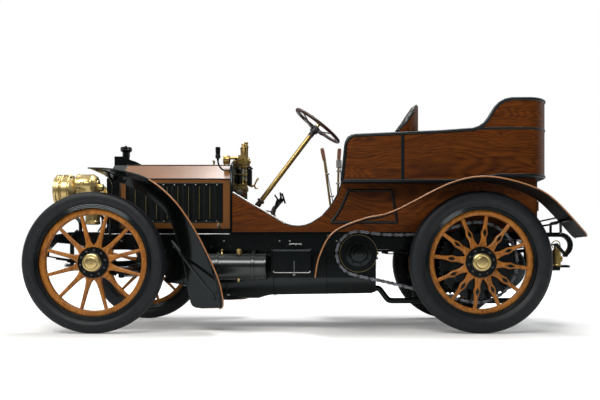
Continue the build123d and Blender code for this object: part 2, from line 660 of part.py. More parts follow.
def rear_axle():
    """Dead axle: square beam with a round spindle at each end."""
    half = REAR_AXLE_BAR / 2
    end = TRACK / 2 - REAR_HUB_IN - 1
    reach = TRACK / 2 + SPINDLE_OUT
    beam = block(WHEELBASE - half, WHEELBASE + half, -end, end, REAR_R - half, REAR_R + half)
    return beam + rod((WHEELBASE, -reach, REAR_R), (WHEELBASE, reach, REAR_R), SPINDLE_R)


# Drive


def chain_line():
    """Pitch line of a chain as close (x, z) points: front sprocket, lower run, rear sprocket, upper run."""
    fx, fz, fr = COUNTERSHAFT_X, COUNTERSHAFT_Z, pitch_radius(FRONT_TEETH)
    rx, rz, rr = WHEELBASE, REAR_R, pitch_radius(REAR_TEETH)
    reach = hypot(rx - fx, rz - fz)
    along = degrees(atan2(rz - fz, rx - fx))
    wrap = 90 + degrees(asin((rr - fr) / reach))
    dip = degrees(atan2(4 * CHAIN_SAG, reach))
    line = arc_points(fx, fz, fr, along + wrap - dip, along + 360 - wrap, 90)
    line += arc_points(rx, rz, rr, along - wrap, along + wrap + dip, 120)
    (x0, z0), (x1, z1) = line[-1], line[0]
    for i in range(1, 40):
        t = i / 40
        line.append((x0 + (x1 - x0) * t, z0 + (z1 - z0) * t - 4 * CHAIN_SAG * t * (1 - t)))
    return line


def chain_pins():
    """Pins of a chain, one pitch apart along its line."""
    line = chain_line()
    legs = [hypot(b[0] - a[0], b[1] - a[1]) for a, b in zip(line, line[1:] + line[:1])]
    count = round(sum(legs) / CHAIN_PITCH)
    step = sum(legs) / count
    pins, due, run = [], 0.0, 0.0
    for (a, b), leg in zip(zip(line, line[1:] + line[:1]), legs):
        while due < run + leg and len(pins) < count:
            t = (due - run) / leg
            pins.append((a[0] + (b[0] - a[0]) * t, a[1] + (b[1] - a[1]) * t))
            due += step
        run += leg
    return pins


def chain_edge(pins, side):
    """Outer (1) or inner (-1) edge of the links, wide at the pins and waisted between them."""
    edge = []
    waist = CHAIN_WAIST if side > 0 else CHAIN_INNER_WAIST
    for i, (x, z) in enumerate(pins):
        (bx, bz), (ax, az) = pins[i - 1], pins[(i + 1) % len(pins)]
        for px, pz, dx, dz, width in ((x, z, ax - bx, az - bz, CHAIN_H),
                                      ((x + ax) / 2, (z + az) / 2, ax - x, az - z, waist)):
            out = side * width / 2 / hypot(dx, dz)
            edge.append((px + dz * out, pz - dx * out))
    return make_face(Polyline(*edge, close=True))


def drive():
    pins = chain_pins()
    band = chain_edge(pins, 1) - chain_edge(pins, -1)
    left = xz_face_prism(band, -CHAIN_Y - CHAIN_W / 2, -CHAIN_Y + CHAIN_W / 2)
    for shape in both(left):
        add("drive_chains", shape)
    x, z = COUNTERSHAFT_X, COUNTERSHAFT_Z
    end = CHAIN_Y - SPROCKET_T / 2 - 34
    case = rod((x, -end, z), (x, end, z), COUNTERSHAFT_R)
    for shape in both(block(x - 55, x + 55, -RAIL_OUT, -RAIL_IN, z - 45, RAIL_BOTTOM)):
        case += shape
    for side in (-1, 1):
        case -= rod((x, side * (end - 40), z), (x, side * (end + 1), z), STUB_R + RUNNING_GAP)
    add("countershaft", case)
    disc = extrude(toothed_face(FRONT_TEETH), amount=SPROCKET_T / 2, both=True)
    disc += Cylinder(52, SPROCKET_T + 36)
    stub = Pos(0, 0, -SPROCKET_T / 2) * Cylinder(STUB_R, 70, align=(Align.CENTER, Align.CENTER, Align.MAX))
    left_sprocket = Pos(x, -CHAIN_Y, z) * Rot(90, 0, 0) * (disc + stub)
    add("left_drive_sprocket", left_sprocket)
    add("right_drive_sprocket", mirror(left_sprocket, about=Plane.XZ))


STUB_R = 17.0


def trough(half, bottom, radius):
    """Section of the undertray, round at its lower corners."""
    face = Rectangle(2 * half, RAIL_BOTTOM - bottom, align=(Align.CENTER, Align.MIN))
    low = face.vertices().sort_by(Axis.Y)[:2]
    return Pos(0, bottom) * fillet(low, radius)


def tray_form(inset):
    """Solid within the tray's sides and underside, taken in by an inset."""
    section = trough(TRAY_HALF_W - inset, TRAY_DEEP + inset, TRAY_R - inset)
    front, rear = TRAY_FRONT_X + inset, TRAY_REAR_X - inset
    form = extrude(Plane.YZ.offset(front) * section, amount=rear - front)
    low = [(x, z + inset) for x, z in TRAY_LINE]
    under = [(front, low[0][1]), *low[1:-1], (rear, low[-1][1]), (rear, RAIL_BOTTOM), (front, RAIL_BOTTOM)]
    return form & xz_prism(under, -TRAY_HALF_W, TRAY_HALF_W)


def engine_and_tray():
    x0 = BONNET_FRONT_X + 75
    engine = block(x0, x0 + ENGINE_L, -ENGINE_W / 2, ENGINE_W / 2, ENGINE_BOTTOM, ENGINE_TOP)
    arm = RAIL_OUT - RAIL_T
    for x in (x0 + 90, x0 + ENGINE_L - 70):
        engine += block(x - 20, x + 20, -arm, arm, RAIL_BOTTOM + 14, RAIL_BOTTOM + 52)
    add("engine_block", engine)
    tray = tray_form(0.0) - tray_form(TRAY_T)
    flange = RAIL_BOTTOM - TRAY_T
    for shape in both(block(TRAY_FRONT_X, TRAY_REAR_X, -RAIL_Y, -TRAY_HALF_W + TRAY_T, flange, RAIL_BOTTOM)):
        tray += shape
    low = flange - TRAY_T
    hanger = FRONT_SPRING_HALF + 24
    for a, b in ((COUNTERSHAFT_X - 56, COUNTERSHAFT_X + 56), (TRAY_FRONT_X - 1, hanger)):
        for shape in both(block(a, b, -RAIL_OUT, -TRAY_HALF_W - 1, low, RAIL_BOTTOM)):
            tray -= shape
    x, z = COUNTERSHAFT_X, COUNTERSHAFT_Z
    tray -= rod((x, -RAIL_OUT, z), (x, RAIL_OUT, z), COUNTERSHAFT_R)
    wide = ENGINE_W / 2 + 5
    front = TRAY_FRONT_X
    tray -= block(front - 1, front + TRAY_T + 1, -wide, wide, ENGINE_BOTTOM - 5, RAIL_BOTTOM + 1)
    add("undertray", tray)


def tank_box_and_pipe():
    tank = rod((TANK_X0, TANK_Y, TANK_Z), (TANK_X1, TANK_Y, TANK_Z), TANK_R)
    flange = RAIL_BOTTOM - TRAY_T
    for x in TANK_BANDS:
        tank += rod((x - 7, TANK_Y, TANK_Z), (x + 7, TANK_Y, TANK_Z), TANK_R + 3)
        tank += block(x - 7, x + 7, TANK_Y + 20, TANK_Y + 50, TANK_Z, flange)
    cap_x, cap_y = (TANK_BANDS[0] + TANK_BANDS[1]) / 2 + 26, TANK_Y - 40
    tank += rod((cap_x, cap_y, TANK_Z), (cap_x, cap_y, TANK_Z + TANK_R + 14), 16)
    add("side_tank", tank)
    add("tool_box", block(BOX_X0, BOX_X1, -BOX_OUT, -TRAY_HALF_W, BOX_Z0, flange))
    x, half, r = CROSS_MEMBERS[5][0], FUEL_HALF_L, FUEL_R
    ends = [(0, -half), (r - 45, -half + 8), (r, -half + 36), (r, half - 36), (r - 45, half - 8), (0, half)]
    fuel = Plane(origin=(x, 0, FUEL_Z), z_dir=(0, 1, 0)) * lathe(ends)
    hung = RAIL_TOP + RAIL_T - REAR_RAIL_H
    for y in (-FUEL_HANGER_Y, FUEL_HANGER_Y):
        fuel += Pos(x, y, FUEL_Z) * Rot(90, 0, 0) * Cylinder(r + 3, 30)
        fuel += block(x - 14, x + 14, y - 15, y + 15, FUEL_Z + r - 20, hung)
    add("fuel_tank", fuel)
    start, leave = TRAY_LINE[-1][1] + PIPE_R + 4, TRAY_REAR_X
    line = [(leave, start), (leave + 26, start), (leave + 92, PIPE_Z), (PIPE_END_X, PIPE_Z)]
    pipe = bent_rod([(x, PIPE_Y, z) for x, z in line], PIPE_R, 24.0)
    strap_x = CROSS_MEMBERS[3][0]
    strap_z = RAIL_TOP - RAIL_T - CROSS_MEMBER_H
    pipe += block(strap_x - 10, strap_x + 10, PIPE_Y - 4, PIPE_Y + 4, PIPE_Z, strap_z)
    add("exhaust_pipe", pipe)


# Bonnet, radiator and dash


def bonnet_points(inset, foot):
    """Bonnet section as (y, z) points, offset inwards."""
    w, r = BONNET_HALF_W - inset, BONNET_RIDGE_HALF_W - inset * 0.6
    s, t = BONNET_SHOULDER_Z - inset * 0.6, BONNET_RIDGE_Z - inset
    return [(-w, foot), (-w, s), (-r, t), (r, t), (w, s), (w, foot)]


def louvre_panel():
    """Left panel of pressed louvres that closes the window in the bonnet's side."""
    face = -BONNET_HALF_W
    panel = block(LOUVRE_X0, LOUVRE_X1, face, face + BONNET_T - 2, LOUVRE_Z0, LOUVRE_Z1)
    step = (LOUVRE_X1 - LOUVRE_X0) / LOUVRES
    for i in range(LOUVRES):
        x = LOUVRE_X0 + step * (i + 0.5)
        rib = [(x - step * 0.3, face + 1), (x - step * 0.12, face - 8), (x + step * 0.3, face + 1)]
        blade = extrude(make_face(Polyline(*rib, close=True)), amount=LOUVRE_Z1 - LOUVRE_Z0 - 28)
        panel += Pos(0, 0, LOUVRE_Z0 + 14) * blade
    return panel


def bonnet_and_radiator():
    shell = yz_prism(bonnet_points(0, SILL_TOP), BONNET_FRONT_X, DASH_X)
    shell -= yz_prism(bonnet_points(BONNET_T, SILL_TOP - 1), BONNET_FRONT_X - 1, DASH_X + 1)
    wide = BONNET_HALF_W + 1
    add("bonnet", shell - block(LOUVRE_X0, LOUVRE_X1, -wide, wide, LOUVRE_Z0, LOUVRE_Z1))
    for shape in both(louvre_panel()):
        add("bonnet_louvres", shape)
    body = yz_prism(bonnet_points(0, SILL_TOP), RADIATOR_FRONT_X, BONNET_FRONT_X)
    core_half, core_z0, core_z1 = BONNET_HALF_W - 45, SILL_TOP + 45, BONNET_SHOULDER_Z - 25
    back = RADIATOR_FRONT_X + 70
    body -= block(RADIATOR_FRONT_X - 1, back, -core_half, core_half, core_z0, core_z1)
    ridge, front = BONNET_RIDGE_Z, HEADER_FRONT_X
    header = [
        (front, ridge), (front, HEADER_TOP_Z), (front + 60, HEADER_TOP_Z), (front + 66, HEADER_TOP_Z - 8),
        (front + 163, HEADER_TOP_Z - 41), (front + 163, ridge + 0.5), (BONNET_FRONT_X, ridge + 0.5),
        (BONNET_FRONT_X, ridge),
    ]
    body += xz_prism(header, -TANK_HALF_W, TANK_HALF_W)
    body += rod((FILLER_X, 0, HEADER_TOP_Z - 40), (FILLER_X, 0, FILLER_TOP_Z - 20), 25)
    body += rod((FILLER_X, 0, FILLER_TOP_Z - 24), (FILLER_X, 0, FILLER_TOP_Z), 39)
    add("radiator_shell", body)
    add("radiator_core", block(RADIATOR_FRONT_X + 8, back, -core_half, core_half, core_z0, core_z1))
    half = DASH_HALF_W
    sides = Polyline((-half, DASH_EDGE_Z), (-half, RAIL_TOP), (half, RAIL_TOP), (half, DASH_EDGE_Z))
    crown = ThreePointArc((half, DASH_EDGE_Z), (0, DASH_TOP_Z), (-half, DASH_EDGE_Z))
    dash = extrude(Plane.YZ.offset(DASH_X) * make_face(Wire([*sides.edges(), crown.edge()])), amount=DASH_T)
    add("dashboard", dash - column_hole())
    x0 = DASH_REAR_X
    oiler = block(x0, x0 + 62, -150.0, 60.0, 1165.0, 1235.0)
    for i in range(5):
        y = -130.0 + 40 * i
        oiler += rod((x0 + 34, y, 1010.0), (x0 + 34, y, 1170.0), 11)
    oiler += block(x0, x0 + 50, -150.0, 60.0, 990.0, 1016.0)
    oiler += rod((x0 + 34, -120.0, 1230.0), (x0 + 34, -120.0, 1288.0), 20)
    oiler += rod((x0 + 46, -50.0, 1230.0), (x0 + 46, -50.0, 1320.0), 14)
    y, z = GAUGE_Y, GAUGE_Z
    oiler += rod((GAUGE_X, y, z), (GAUGE_X + GAUGE_L, y, z), GAUGE_R)
    oiler += rod((GAUGE_X + GAUGE_L - 4, y, z + 13), (x0 + 31, y, z + 13), 9)
    oiler += rod((x0 + 31, y - 9, z + 13), (x0 + 31, -140.0, z + 13), 9)
    add("lubricator", oiler)


def column_hole():
    """Clearance for the steering column through the dash and the toe board."""
    return rod((DROP_ARM_X - 6, COLUMN_Y, STEER_BOX_Z), (WHEEL_X, COLUMN_Y, WHEEL_Z), COLUMN_R + 2)


# Body


def lower_outline():
    """Side of the lower body: toe slope, foot well curve and seat front, up to the ledge."""
    front, knee = DASH_REAR_X, (FOOTWELL_X, TOE_FOOT_Z)
    bend0, bend1 = LEDGE_BEND_X
    seat = (SEAT_FRONT_X + 3, LEDGE_Z)
    toe = Line((front, RAIL_TOP), (front, TOE_TOP_Z))
    slope = Line((front, TOE_TOP_Z), knee)
    dip = ThreePointArc(knee, (1310.0, 704.0), (1400.0, 727.0))
    rise = ThreePointArc((1400.0, 727.0), (1532.0, 842.0), seat)
    rest = Polyline(seat, (bend0, LEDGE_Z), (bend1, REAR_LEDGE_Z), (BODY_REAR_X, REAR_LEDGE_Z),
                    (BODY_REAR_X, RAIL_TOP), (front, RAIL_TOP))
    return make_face(Wire([toe.edge(), slope.edge(), dip.edge(), rise.edge(), *rest.edges()]))


def tub_profile(low):
    """Side outline of the upper body, seen from the left."""
    top, rear = TUB_TOP_Z, TUB_REAR_X + 20
    edge = [
        Line((SEAT_FRONT_X, low), (1630.0, 1236.0)),
        ThreePointArc((1630.0, 1236.0), (1650.0, 1288.0), (1700.0, 1306.0)),
        Line((1700.0, 1306.0), (2255.0, 1330.0)),
        Line((2255.0, 1330.0), (2478.0, 1346.0)),
        ThreePointArc((2478.0, 1346.0), (2554.0, 1384.0), (2604.0, 1454.0)),
        ThreePointArc((2604.0, 1454.0), (2655.0, 1520.0), (2735.0, top)),
        Line((2735.0, top), (rear, top)),
        Line((rear, top), (rear, low)),
        Line((rear, low), (SEAT_FRONT_X, low)),
    ]
    return make_face(Wire([e.edge() for e in edge]))


def plan_u(half_w, rear, corner, front):
    """Plan of a wall: open at the front, with two rounded corners at the rear."""
    face = make_face(Polyline((front, -half_w), (rear, -half_w), (rear, half_w), (front, half_w), close=True))
    return fillet(face.vertices().sort_by(Axis.X)[-2:], corner)


def plan_wall(half_w, rear, corner, front, thick, z0, z1):
    outer = plan_u(half_w, rear, corner, front)
    inner = plan_u(half_w - thick, rear - thick, corner - thick, front - 10)
    return Pos(0, 0, z0) * extrude(outer - inner, amount=z1 - z0)


def ledge_line():
    """Underside of the upper body: level, then rising to the rear."""
    bend0, bend1 = LEDGE_BEND_X
    front, rear = SEAT_FRONT_X - 5, TUB_REAR_X + 20
    return [(front, LEDGE_Z), (bend0, LEDGE_Z), (bend1, REAR_LEDGE_Z), (rear, REAR_LEDGE_Z)]


def upper_side():
    """Left half of the upper body: wall with a rounded rear corner, standing on a shelf."""
    ledge = ledge_line()
    rear, high = TUB_REAR_X + 20, TUB_TOP_Z + 20
    above = xz_prism(ledge + [(rear, high), (SEAT_FRONT_X - 5, high)], -UPPER_HALF_W - 5, 0)
    wall = plan_wall(UPPER_HALF_W, TUB_REAR_X, TUB_CORNER_R, SEAT_FRONT_X, SIDE_T, LEDGE_Z, TUB_TOP_Z + 10)
    wall &= xz_face_prism(tub_profile(LEDGE_Z), -UPPER_HALF_W - 5, UPPER_HALF_W + 5)
    plan = plan_u(UPPER_HALF_W, TUB_REAR_X, TUB_CORNER_R, SEAT_FRONT_X)
    shelf = Pos(0, 0, LEDGE_Z - 5) * extrude(plan, amount=REAR_LEDGE_Z - LEDGE_Z + 40)
    raised = [(x, z + SIDE_T) for x, z in reversed(ledge)]
    shelf &= xz_prism(ledge + raised, -UPPER_HALF_W, -INSIDE_HALF_W)
    left = (wall & above) + shelf
    left -= block(BODY_REAR_X - 200, rear + 10, -DOOR_HALF_W - DOOR_GAP, 400, RAIL_TOP, high)
    inner_x = BODY_REAR_X - SIDE_T
    return left - block(SEAT_FRONT_X, inner_x, -INSIDE_HALF_W, 0, LEDGE_Z - 10, REAR_LEDGE_Z + SIDE_T + 1)


def rear_door():
    """Door in the tail, with its handle; its hinges also give a knuckle and pin to the left side."""
    jamb_y = -DOOR_HALF_W - DOOR_GAP / 2
    x, hinge_x = TUB_REAR_X, TUB_REAR_X + HINGE_R + 1
    grip_y = DOOR_HALF_W - 50
    door = block(x - SIDE_T, x, -DOOR_HALF_W, DOOR_HALF_W, DOOR_BOTTOM_Z, TUB_TOP_Z)
    door += rod((x, grip_y, 1180.0), (x + 35, grip_y, 1180.0), 9)
    door += block(x + 28, x + 40, grip_y - 60, grip_y + 12, 1171.0, 1189.0)
    for z in DOOR_HINGES:
        low = z + RUNNING_GAP
        leaf = block(x, x + 4, jamb_y, jamb_y + 60, low, z + HINGE_H)
        leaf += rod((hinge_x, jamb_y, low), (hinge_x, jamb_y, z + HINGE_H), HINGE_R)
        bore = HINGE_PIN_R + RUNNING_GAP
        door += leaf - rod((hinge_x, jamb_y, z), (hinge_x, jamb_y, z + 2 * HINGE_H), bore)
        jamb = block(x, x + 4, jamb_y - 24, jamb_y, z - HINGE_H, z)
        jamb += rod((hinge_x, jamb_y, z - HINGE_H), (hinge_x, jamb_y, z), HINGE_R)
        jamb += rod((hinge_x, jamb_y, z - 1), (hinge_x, jamb_y, z + HINGE_H - 1), HINGE_PIN_R)
        node = "lower_sides" if z < REAR_LEDGE_Z else "upper_sides"
        parts[node][0] = parts[node][0] + jamb
    return door


def body():
    jamb = DOOR_HALF_W + DOOR_GAP
    inner_x = BODY_REAR_X - SIDE_T
    lower = xz_face_prism(lower_outline(), -LOWER_HALF_W, -INSIDE_HALF_W)
    lower += block(inner_x, BODY_REAR_X, -LOWER_HALF_W, -jamb, RAIL_TOP, REAR_LEDGE_Z)
    lower += block(inner_x, TUB_REAR_X, -jamb - SIDE_T, -jamb, RAIL_TOP + 1, REAR_LEDGE_Z)
    for shape in both(lower):
        add("lower_sides", shape)
    for shape in both(upper_side()):
        add("upper_sides", shape)
    add("rear_door", rear_door())
    inside, front = INSIDE_HALF_W, DASH_REAR_X
    floor = block(FOOTWELL_X - 20, inner_x, -inside, inside, RAIL_TOP, FLOOR_Z)
    slope = (TOE_TOP_Z - TOE_FOOT_Z) / (FOOTWELL_X - front)
    foot = FOOTWELL_X + 30
    toe = [(front, TOE_TOP_Z), (foot, TOE_FOOT_Z - 30 * slope), (foot, FLOOR_Z - 10),
           (FOOTWELL_X - 14, FLOOR_Z - 10), (front, TOE_TOP_Z - 30)]
    add("floor_boards", floor + xz_prism(toe, -inside, inside) - column_hole())
    x0, x1, wall = SEAT_FRONT_X + 10, FRONT_SEAT_REAR_X, SEAT_BOX_T
    box = block(x0, x1, -inside, inside, FLOOR_Z, LEDGE_Z + SIDE_T)
    box -= block(x0 + wall, x1 - wall, -inside + wall, inside - wall, FLOOR_Z - 1, LEDGE_Z)
    add("seat_boxes", box)
    for shape in both(rear_seat_box()):
        add("seat_boxes", shape)
    high = BACKREST_TOP_Z
    half, low = UPPER_HALF_W - SIDE_T, LEDGE_Z + SIDE_T
    back = plan_wall(half, BACKREST_X, BACKREST_CORNER_R, 1900.0, BACK_T, low, high)
    rear = BACKREST_X + 19
    cheek = [(1955.0, low), (1955.0, 1318.0), *CHEEK_EDGE, (BACKREST_X, high), (rear, high), (rear, low)]
    add("front_seat_back", back & xz_prism(cheek, -UPPER_HALF_W, UPPER_HALF_W))


def rear_seat_box():
    jamb, wall, top = DOOR_HALF_W + DOOR_GAP, SEAT_BOX_T, REAR_LEDGE_Z + SIDE_T
    x0, x1 = REAR_SEAT_X0 + 30, BODY_REAR_X - SIDE_T
    shape = block(x0, x1, -INSIDE_HALF_W, -jamb, FLOOR_Z, top)
    return shape - block(x0 + wall, x1 - wall, -INSIDE_HALF_W + wall, -jamb - wall, FLOOR_Z - 1, top - wall)


def upholstery():
    seat_z = LEDGE_Z + SIDE_T
    half = CUSHION_HALF_W
    cushion = block(SEAT_FRONT_X + 40, 1990.0, -half + BACK_T, half - BACK_T, seat_z, seat_z + CUSHION_H)
    add("seat_cushions", fillet(cushion.edges().filter_by(Axis.Z), 30))
    foot, top = seat_z + CUSHION_H + RUNNING_GAP, BACKREST_TOP_Z - 14
    inset = BACK_T + PAD_GAP
    rear = BACKREST_X - inset - 4
    plan = plan_u(half - BACK_T, rear, BACKREST_CORNER_R - inset, 1900.0)
    front = [(1936.0, foot), *SQUAB_FRONT]
    squab = Pos(0, 0, foot) * extrude(plan, amount=top - foot)
    squab &= xz_prism([*front, (rear, top), (rear, foot)], -half, half)
    edge = [(x - PAD_GAP, z + PAD_GAP) for x, z in CHEEK_EDGE]
    roll = xz_prism([*SQUAB_FRONT, *reversed(edge)], -half, -half + BACK_T + 30)
    for shape in both(roll):
        squab += shape
    add("seat_squabs", squab)
    low, jamb = REAR_LEDGE_Z + SIDE_T + RUNNING_GAP, DOOR_HALF_W + DOOR_GAP
    back, corner = TUB_REAR_X - SIDE_T - PAD_GAP, TUB_CORNER_R - SIDE_T - PAD_GAP
    pad = Pos(0, 0, low) * extrude(plan_u(half, back, corner, REAR_SEAT_X0), amount=REAR_CUSHION_H)
    pad &= block(REAR_SEAT_X0, TUB_REAR_X, -half, -jamb, low, low + REAR_CUSHION_H)
    foot = low + REAR_CUSHION_H + RUNNING_GAP
    squab = plan_wall(half, back, corner, REAR_SEAT_X0 + 150, REAR_SQUAB_T, foot, TUB_TOP_Z - 20)
    squab &= Pos(0, 0, -22) * xz_face_prism(tub_profile(LEDGE_Z), -UPPER_HALF_W, -jamb)
    for shape in both(pad):
        add("seat_cushions", shape)
    for shape in both(squab):
        add("seat_squabs", shape)


# Wings


def front_wing():
    """Left front wing: sheet from the outer edge to a knee, then an inner valance, over its stations."""
    wires = []
    for ox, oz, ix, iz in FRONT_WING:
        kx, kz = ox + KNEE_SHARE * (ix - ox), oz + KNEE_SHARE * (iz - oz)
        length = hypot(ix - ox, iz - oz)
        nx, nz = (ix - ox) / length * WING_T, (iz - oz) / length * WING_T
        outline = [
            (ox, -WING_OUT, oz), (kx, -WING_KNEE, kz), (ix, -WING_IN, iz), (ix, -WING_IN - WING_T, iz),
            (kx + nx, -WING_KNEE - WING_T, kz + nz), (ox + nx, -WING_OUT, oz + nz),
        ]
        wires.append(Wire.make_polygon([Vector(*p) for p in outline], close=True))
    return Solid.make_loft(wires, ruled=False)


def rear_wing():
    """Left rear wing: a bent strip of constant width."""
    line = Spline(*[(WHEELBASE + x, z) for x, z in REAR_WING])
    shares = [i / WING_STRIPS for i in range(WING_STRIPS + 1)]
    over = [line @ t for t in shares]
    under = [line @ t + Vector((line % t).Y, -(line % t).X) * WING_T for t in shares]
    return xz_prism([(p.X, p.Y) for p in over + under[::-1]], -WING_OUT, -WING_IN)


def wings_and_stays():
    front, rear = front_wing(), rear_wing()
    for shape in both(front):
        add("front_wings", shape)
    for shape in both(rear):
        add("rear_wings", shape)
    rail, tip, tail_x = -RAIL_OUT, -WING_OUT + 20, WHEELBASE + 540
    ahead_x = WHEELBASE - 978
    stays = [
        ([(452.0, rail, 606.0), (452.0, rail - 60, 606.0), (800.0, tip + 36, 228.0)], 30.0),
        ([(40.0, rail, 640.0), (40.0, rail - 70, 640.0), (70.0, rail - 90, 980.0), (96.0, tip + 96, 1044.0)],
         30.0),
        ([(ahead_x, rail, 601.0), (ahead_x, tip, 601.0)], 0.0),
        ([(tail_x, -RAIL_Y, RAIL_TOP - 10), (tail_x, -RAIL_Y, 727.0), (tail_x, tip, 727.0)], 20.0),
    ]
    for line, bend in stays:
        trimmed = bent_rod(line, STAY_R, bend) - front - rear - parts["side_rails"][0]
        whole = trimmed.solids().sort_by(SortBy.VOLUME)[-1]
        for shape in both(whole):
            add("iron_brackets", shape)


# Lamps, controls and rear fittings


def lamps():
    plane = Plane(origin=(LAMP_FRONT_X, -LAMP_Y, LAMP_Z), z_dir=(1, 0, 0))
    r, length = LAMP_R, LAMP_L
    body = plane * lathe([
        (0, 30), (r - 14, 30), (r - 14, 0), (r, 0), (r, 36), (r - 5, 40), (r - 5, length - 26),
        (r - 36, length), (0, length),
    ])
    x, y, z = GENERATOR_X, -LAMP_Y, GENERATOR_Z
    wide, end = GENERATOR_R, GENERATOR_L
    gas = lathe([(0, 0), (wide, 0), (wide, end - 30), (wide - 14, end - 5), (wide - 24, end), (0, end)])
    body += Plane(origin=(x, y, z), z_dir=(1, 0, 0)) * gas
    body += rod((POT_X, y, POT_Z), (POT_X, y, z), POT_R)
    body += rod((LAMP_FRONT_X + length - 20, y, LAMP_Z), (x + 20, y, LAMP_Z), 56)
    body += rod((x + end - 10, y, z - 15), (x + end + 38, y, z - 15), 24)
    for shape in both(body):
        add("brass_lamps", shape)
    lens = plane * lathe([(0, 8), (r - 15, 8), (r - 15, 16), (0, 16)])
    for shape in both(lens):
        add("lamp_glass", shape)
    foot_x = CROSS_MEMBERS[0][0] - 2
    line = [(foot_x, -RAIL_Y, RAIL_TOP), (foot_x, -RAIL_Y, 740.0), (foot_x - 72, y - 20, 800.0),
            (LAMP_FRONT_X + 60, y, LAMP_Z - r + 8)]
    for shape in both(bent_rod(line, 12.0, 25.0) - body):
        add("iron_brackets", shape)
    low = POST_Z - 86
    stalk = [(DASH_X, -POST_Y + 25, low), (POST_X + 26, -POST_Y + 25, low), (POST_X, -POST_Y, low + 44),
             (POST_X, -POST_Y, POST_Z + 4)]
    post = rod((POST_X, -POST_Y, POST_Z), (POST_X, -POST_Y, POST_Z + POST_L), POST_R)
    spade = bent_rod(stalk, 6.0, 30.0) + post
    for shape in both(spade):
        add("iron_brackets", shape)
    x = STEP_FRONT_X + TAIL_LAMP_R
    r, low = TAIL_LAMP_R, STEP_Z - 6
    high = low + TAIL_LAMP_H
    tail = lathe([(0, low), (r, low), (r, high - 40), (18, high - 26), (18, high), (0, high)])
    add("brass_lamps", Pos(x, TAIL_LAMP_Y, 0) * tail)


def controls():
    # Pedals: columns are y, pad x and lean of the pad in degrees
    for y, x, lean in ((200.0, 1144.0, -8.0), (262.0, 1160.0, -17.0), (330.0, 1108.0, -34.0)):
        pedal = bent_rod([(1098.0, y, 772.0), (1072.0, y, 850.0), (x, y, 956.0)], 9.0, 18.0)
        pad = Pos(x, y, 958.0) * Rot(0, lean, 0) * Box(12, 46, 80)
        add("pedals", pedal + pad - parts["floor_boards"][0])
    # Hand levers: columns are pivot x, elbow x, elbow z, top x, top z, y
    levers = [
        (1560.0, 1472.0, 1290.0, 1453.0, 1388.0, LEVER_Y),
        (1575.0, 1588.0, 1285.0, 1595.0, 1380.0, LEVER_Y - 34),
    ]
    for foot_x, elbow_x, elbow_z, top_x, top_z, y in levers:
        foot, elbow = (foot_x, y, LEVER_PIVOT_Z), (elbow_x, y, elbow_z)
        lever = rod(foot, elbow, 9) + Pos(*elbow) * Sphere(9) + rod(elbow, (top_x, y, top_z), 14)
        low = LEVER_PIVOT_Z - 8
        add("hand_levers", lever + rod((foot_x, RAIL_OUT, low), (foot_x, y + 10, low), 12))
    z, x = CRANK_Z, -390.0
    crank = rod((CROSS_MEMBERS[0][0] - CROSS_MEMBERS[0][1] / 2, 0, z), (x, 0, z), 14)
    crank += block(x - 12, x + 12, -12, 12, z - CRANK_ARM - 10, z + 14)
    crank += rod((x, 0, z - CRANK_ARM), (x - 50, 0, z - CRANK_ARM), 12)
    add("starting_crank", crank)
    low, width = STEP_Z - STEP_T, STEP_HALF_W
    step = block(STEP_FRONT_X, STEP_REAR_X, -width, width, low, STEP_Z)
    ear = STEP_FRONT_X + 2 * TAIL_LAMP_R
    step += block(STEP_FRONT_X, ear, TAIL_LAMP_Y - TAIL_LAMP_R, -width, low, STEP_Z - 6)
    foot_x, foot_z = CROSS_MEMBERS[4][0], RAIL_TOP + RAIL_T - REAR_RAIL_H
    under = low - STEP_HANGER_R + 1
    for y in (-STEP_HANGER_Y, STEP_HANGER_Y):
        line = [(foot_x, y, foot_z), (foot_x, y, under), (STEP_REAR_X - 56, y, under)]
        step += bent_rod(line, STEP_HANGER_R, 50.0)
    add("rear_step", step)


def build():
    place_wheels()
    frame()
    springs()
    add("front_axle", front_axle())
    steering()
    add("rear_axle", rear_axle())
    drive()
    engine_and_tray()
    tank_box_and_pipe()
    bonnet_and_radiator()
    body()
    upholstery()
    wings_and_stays()
    lamps()
    controls()
    os.makedirs("parts", exist_ok=True)
    for node, shapes in parts.items():
        moved = [Pos(-ORIGIN_X, 0, 0) * s for shape in shapes for s in shape.solids()]
        export_step(Compound(children=moved), f"parts/{node}.step")
    print(len(parts), "nodes, origin at", ORIGIN_X)


build()
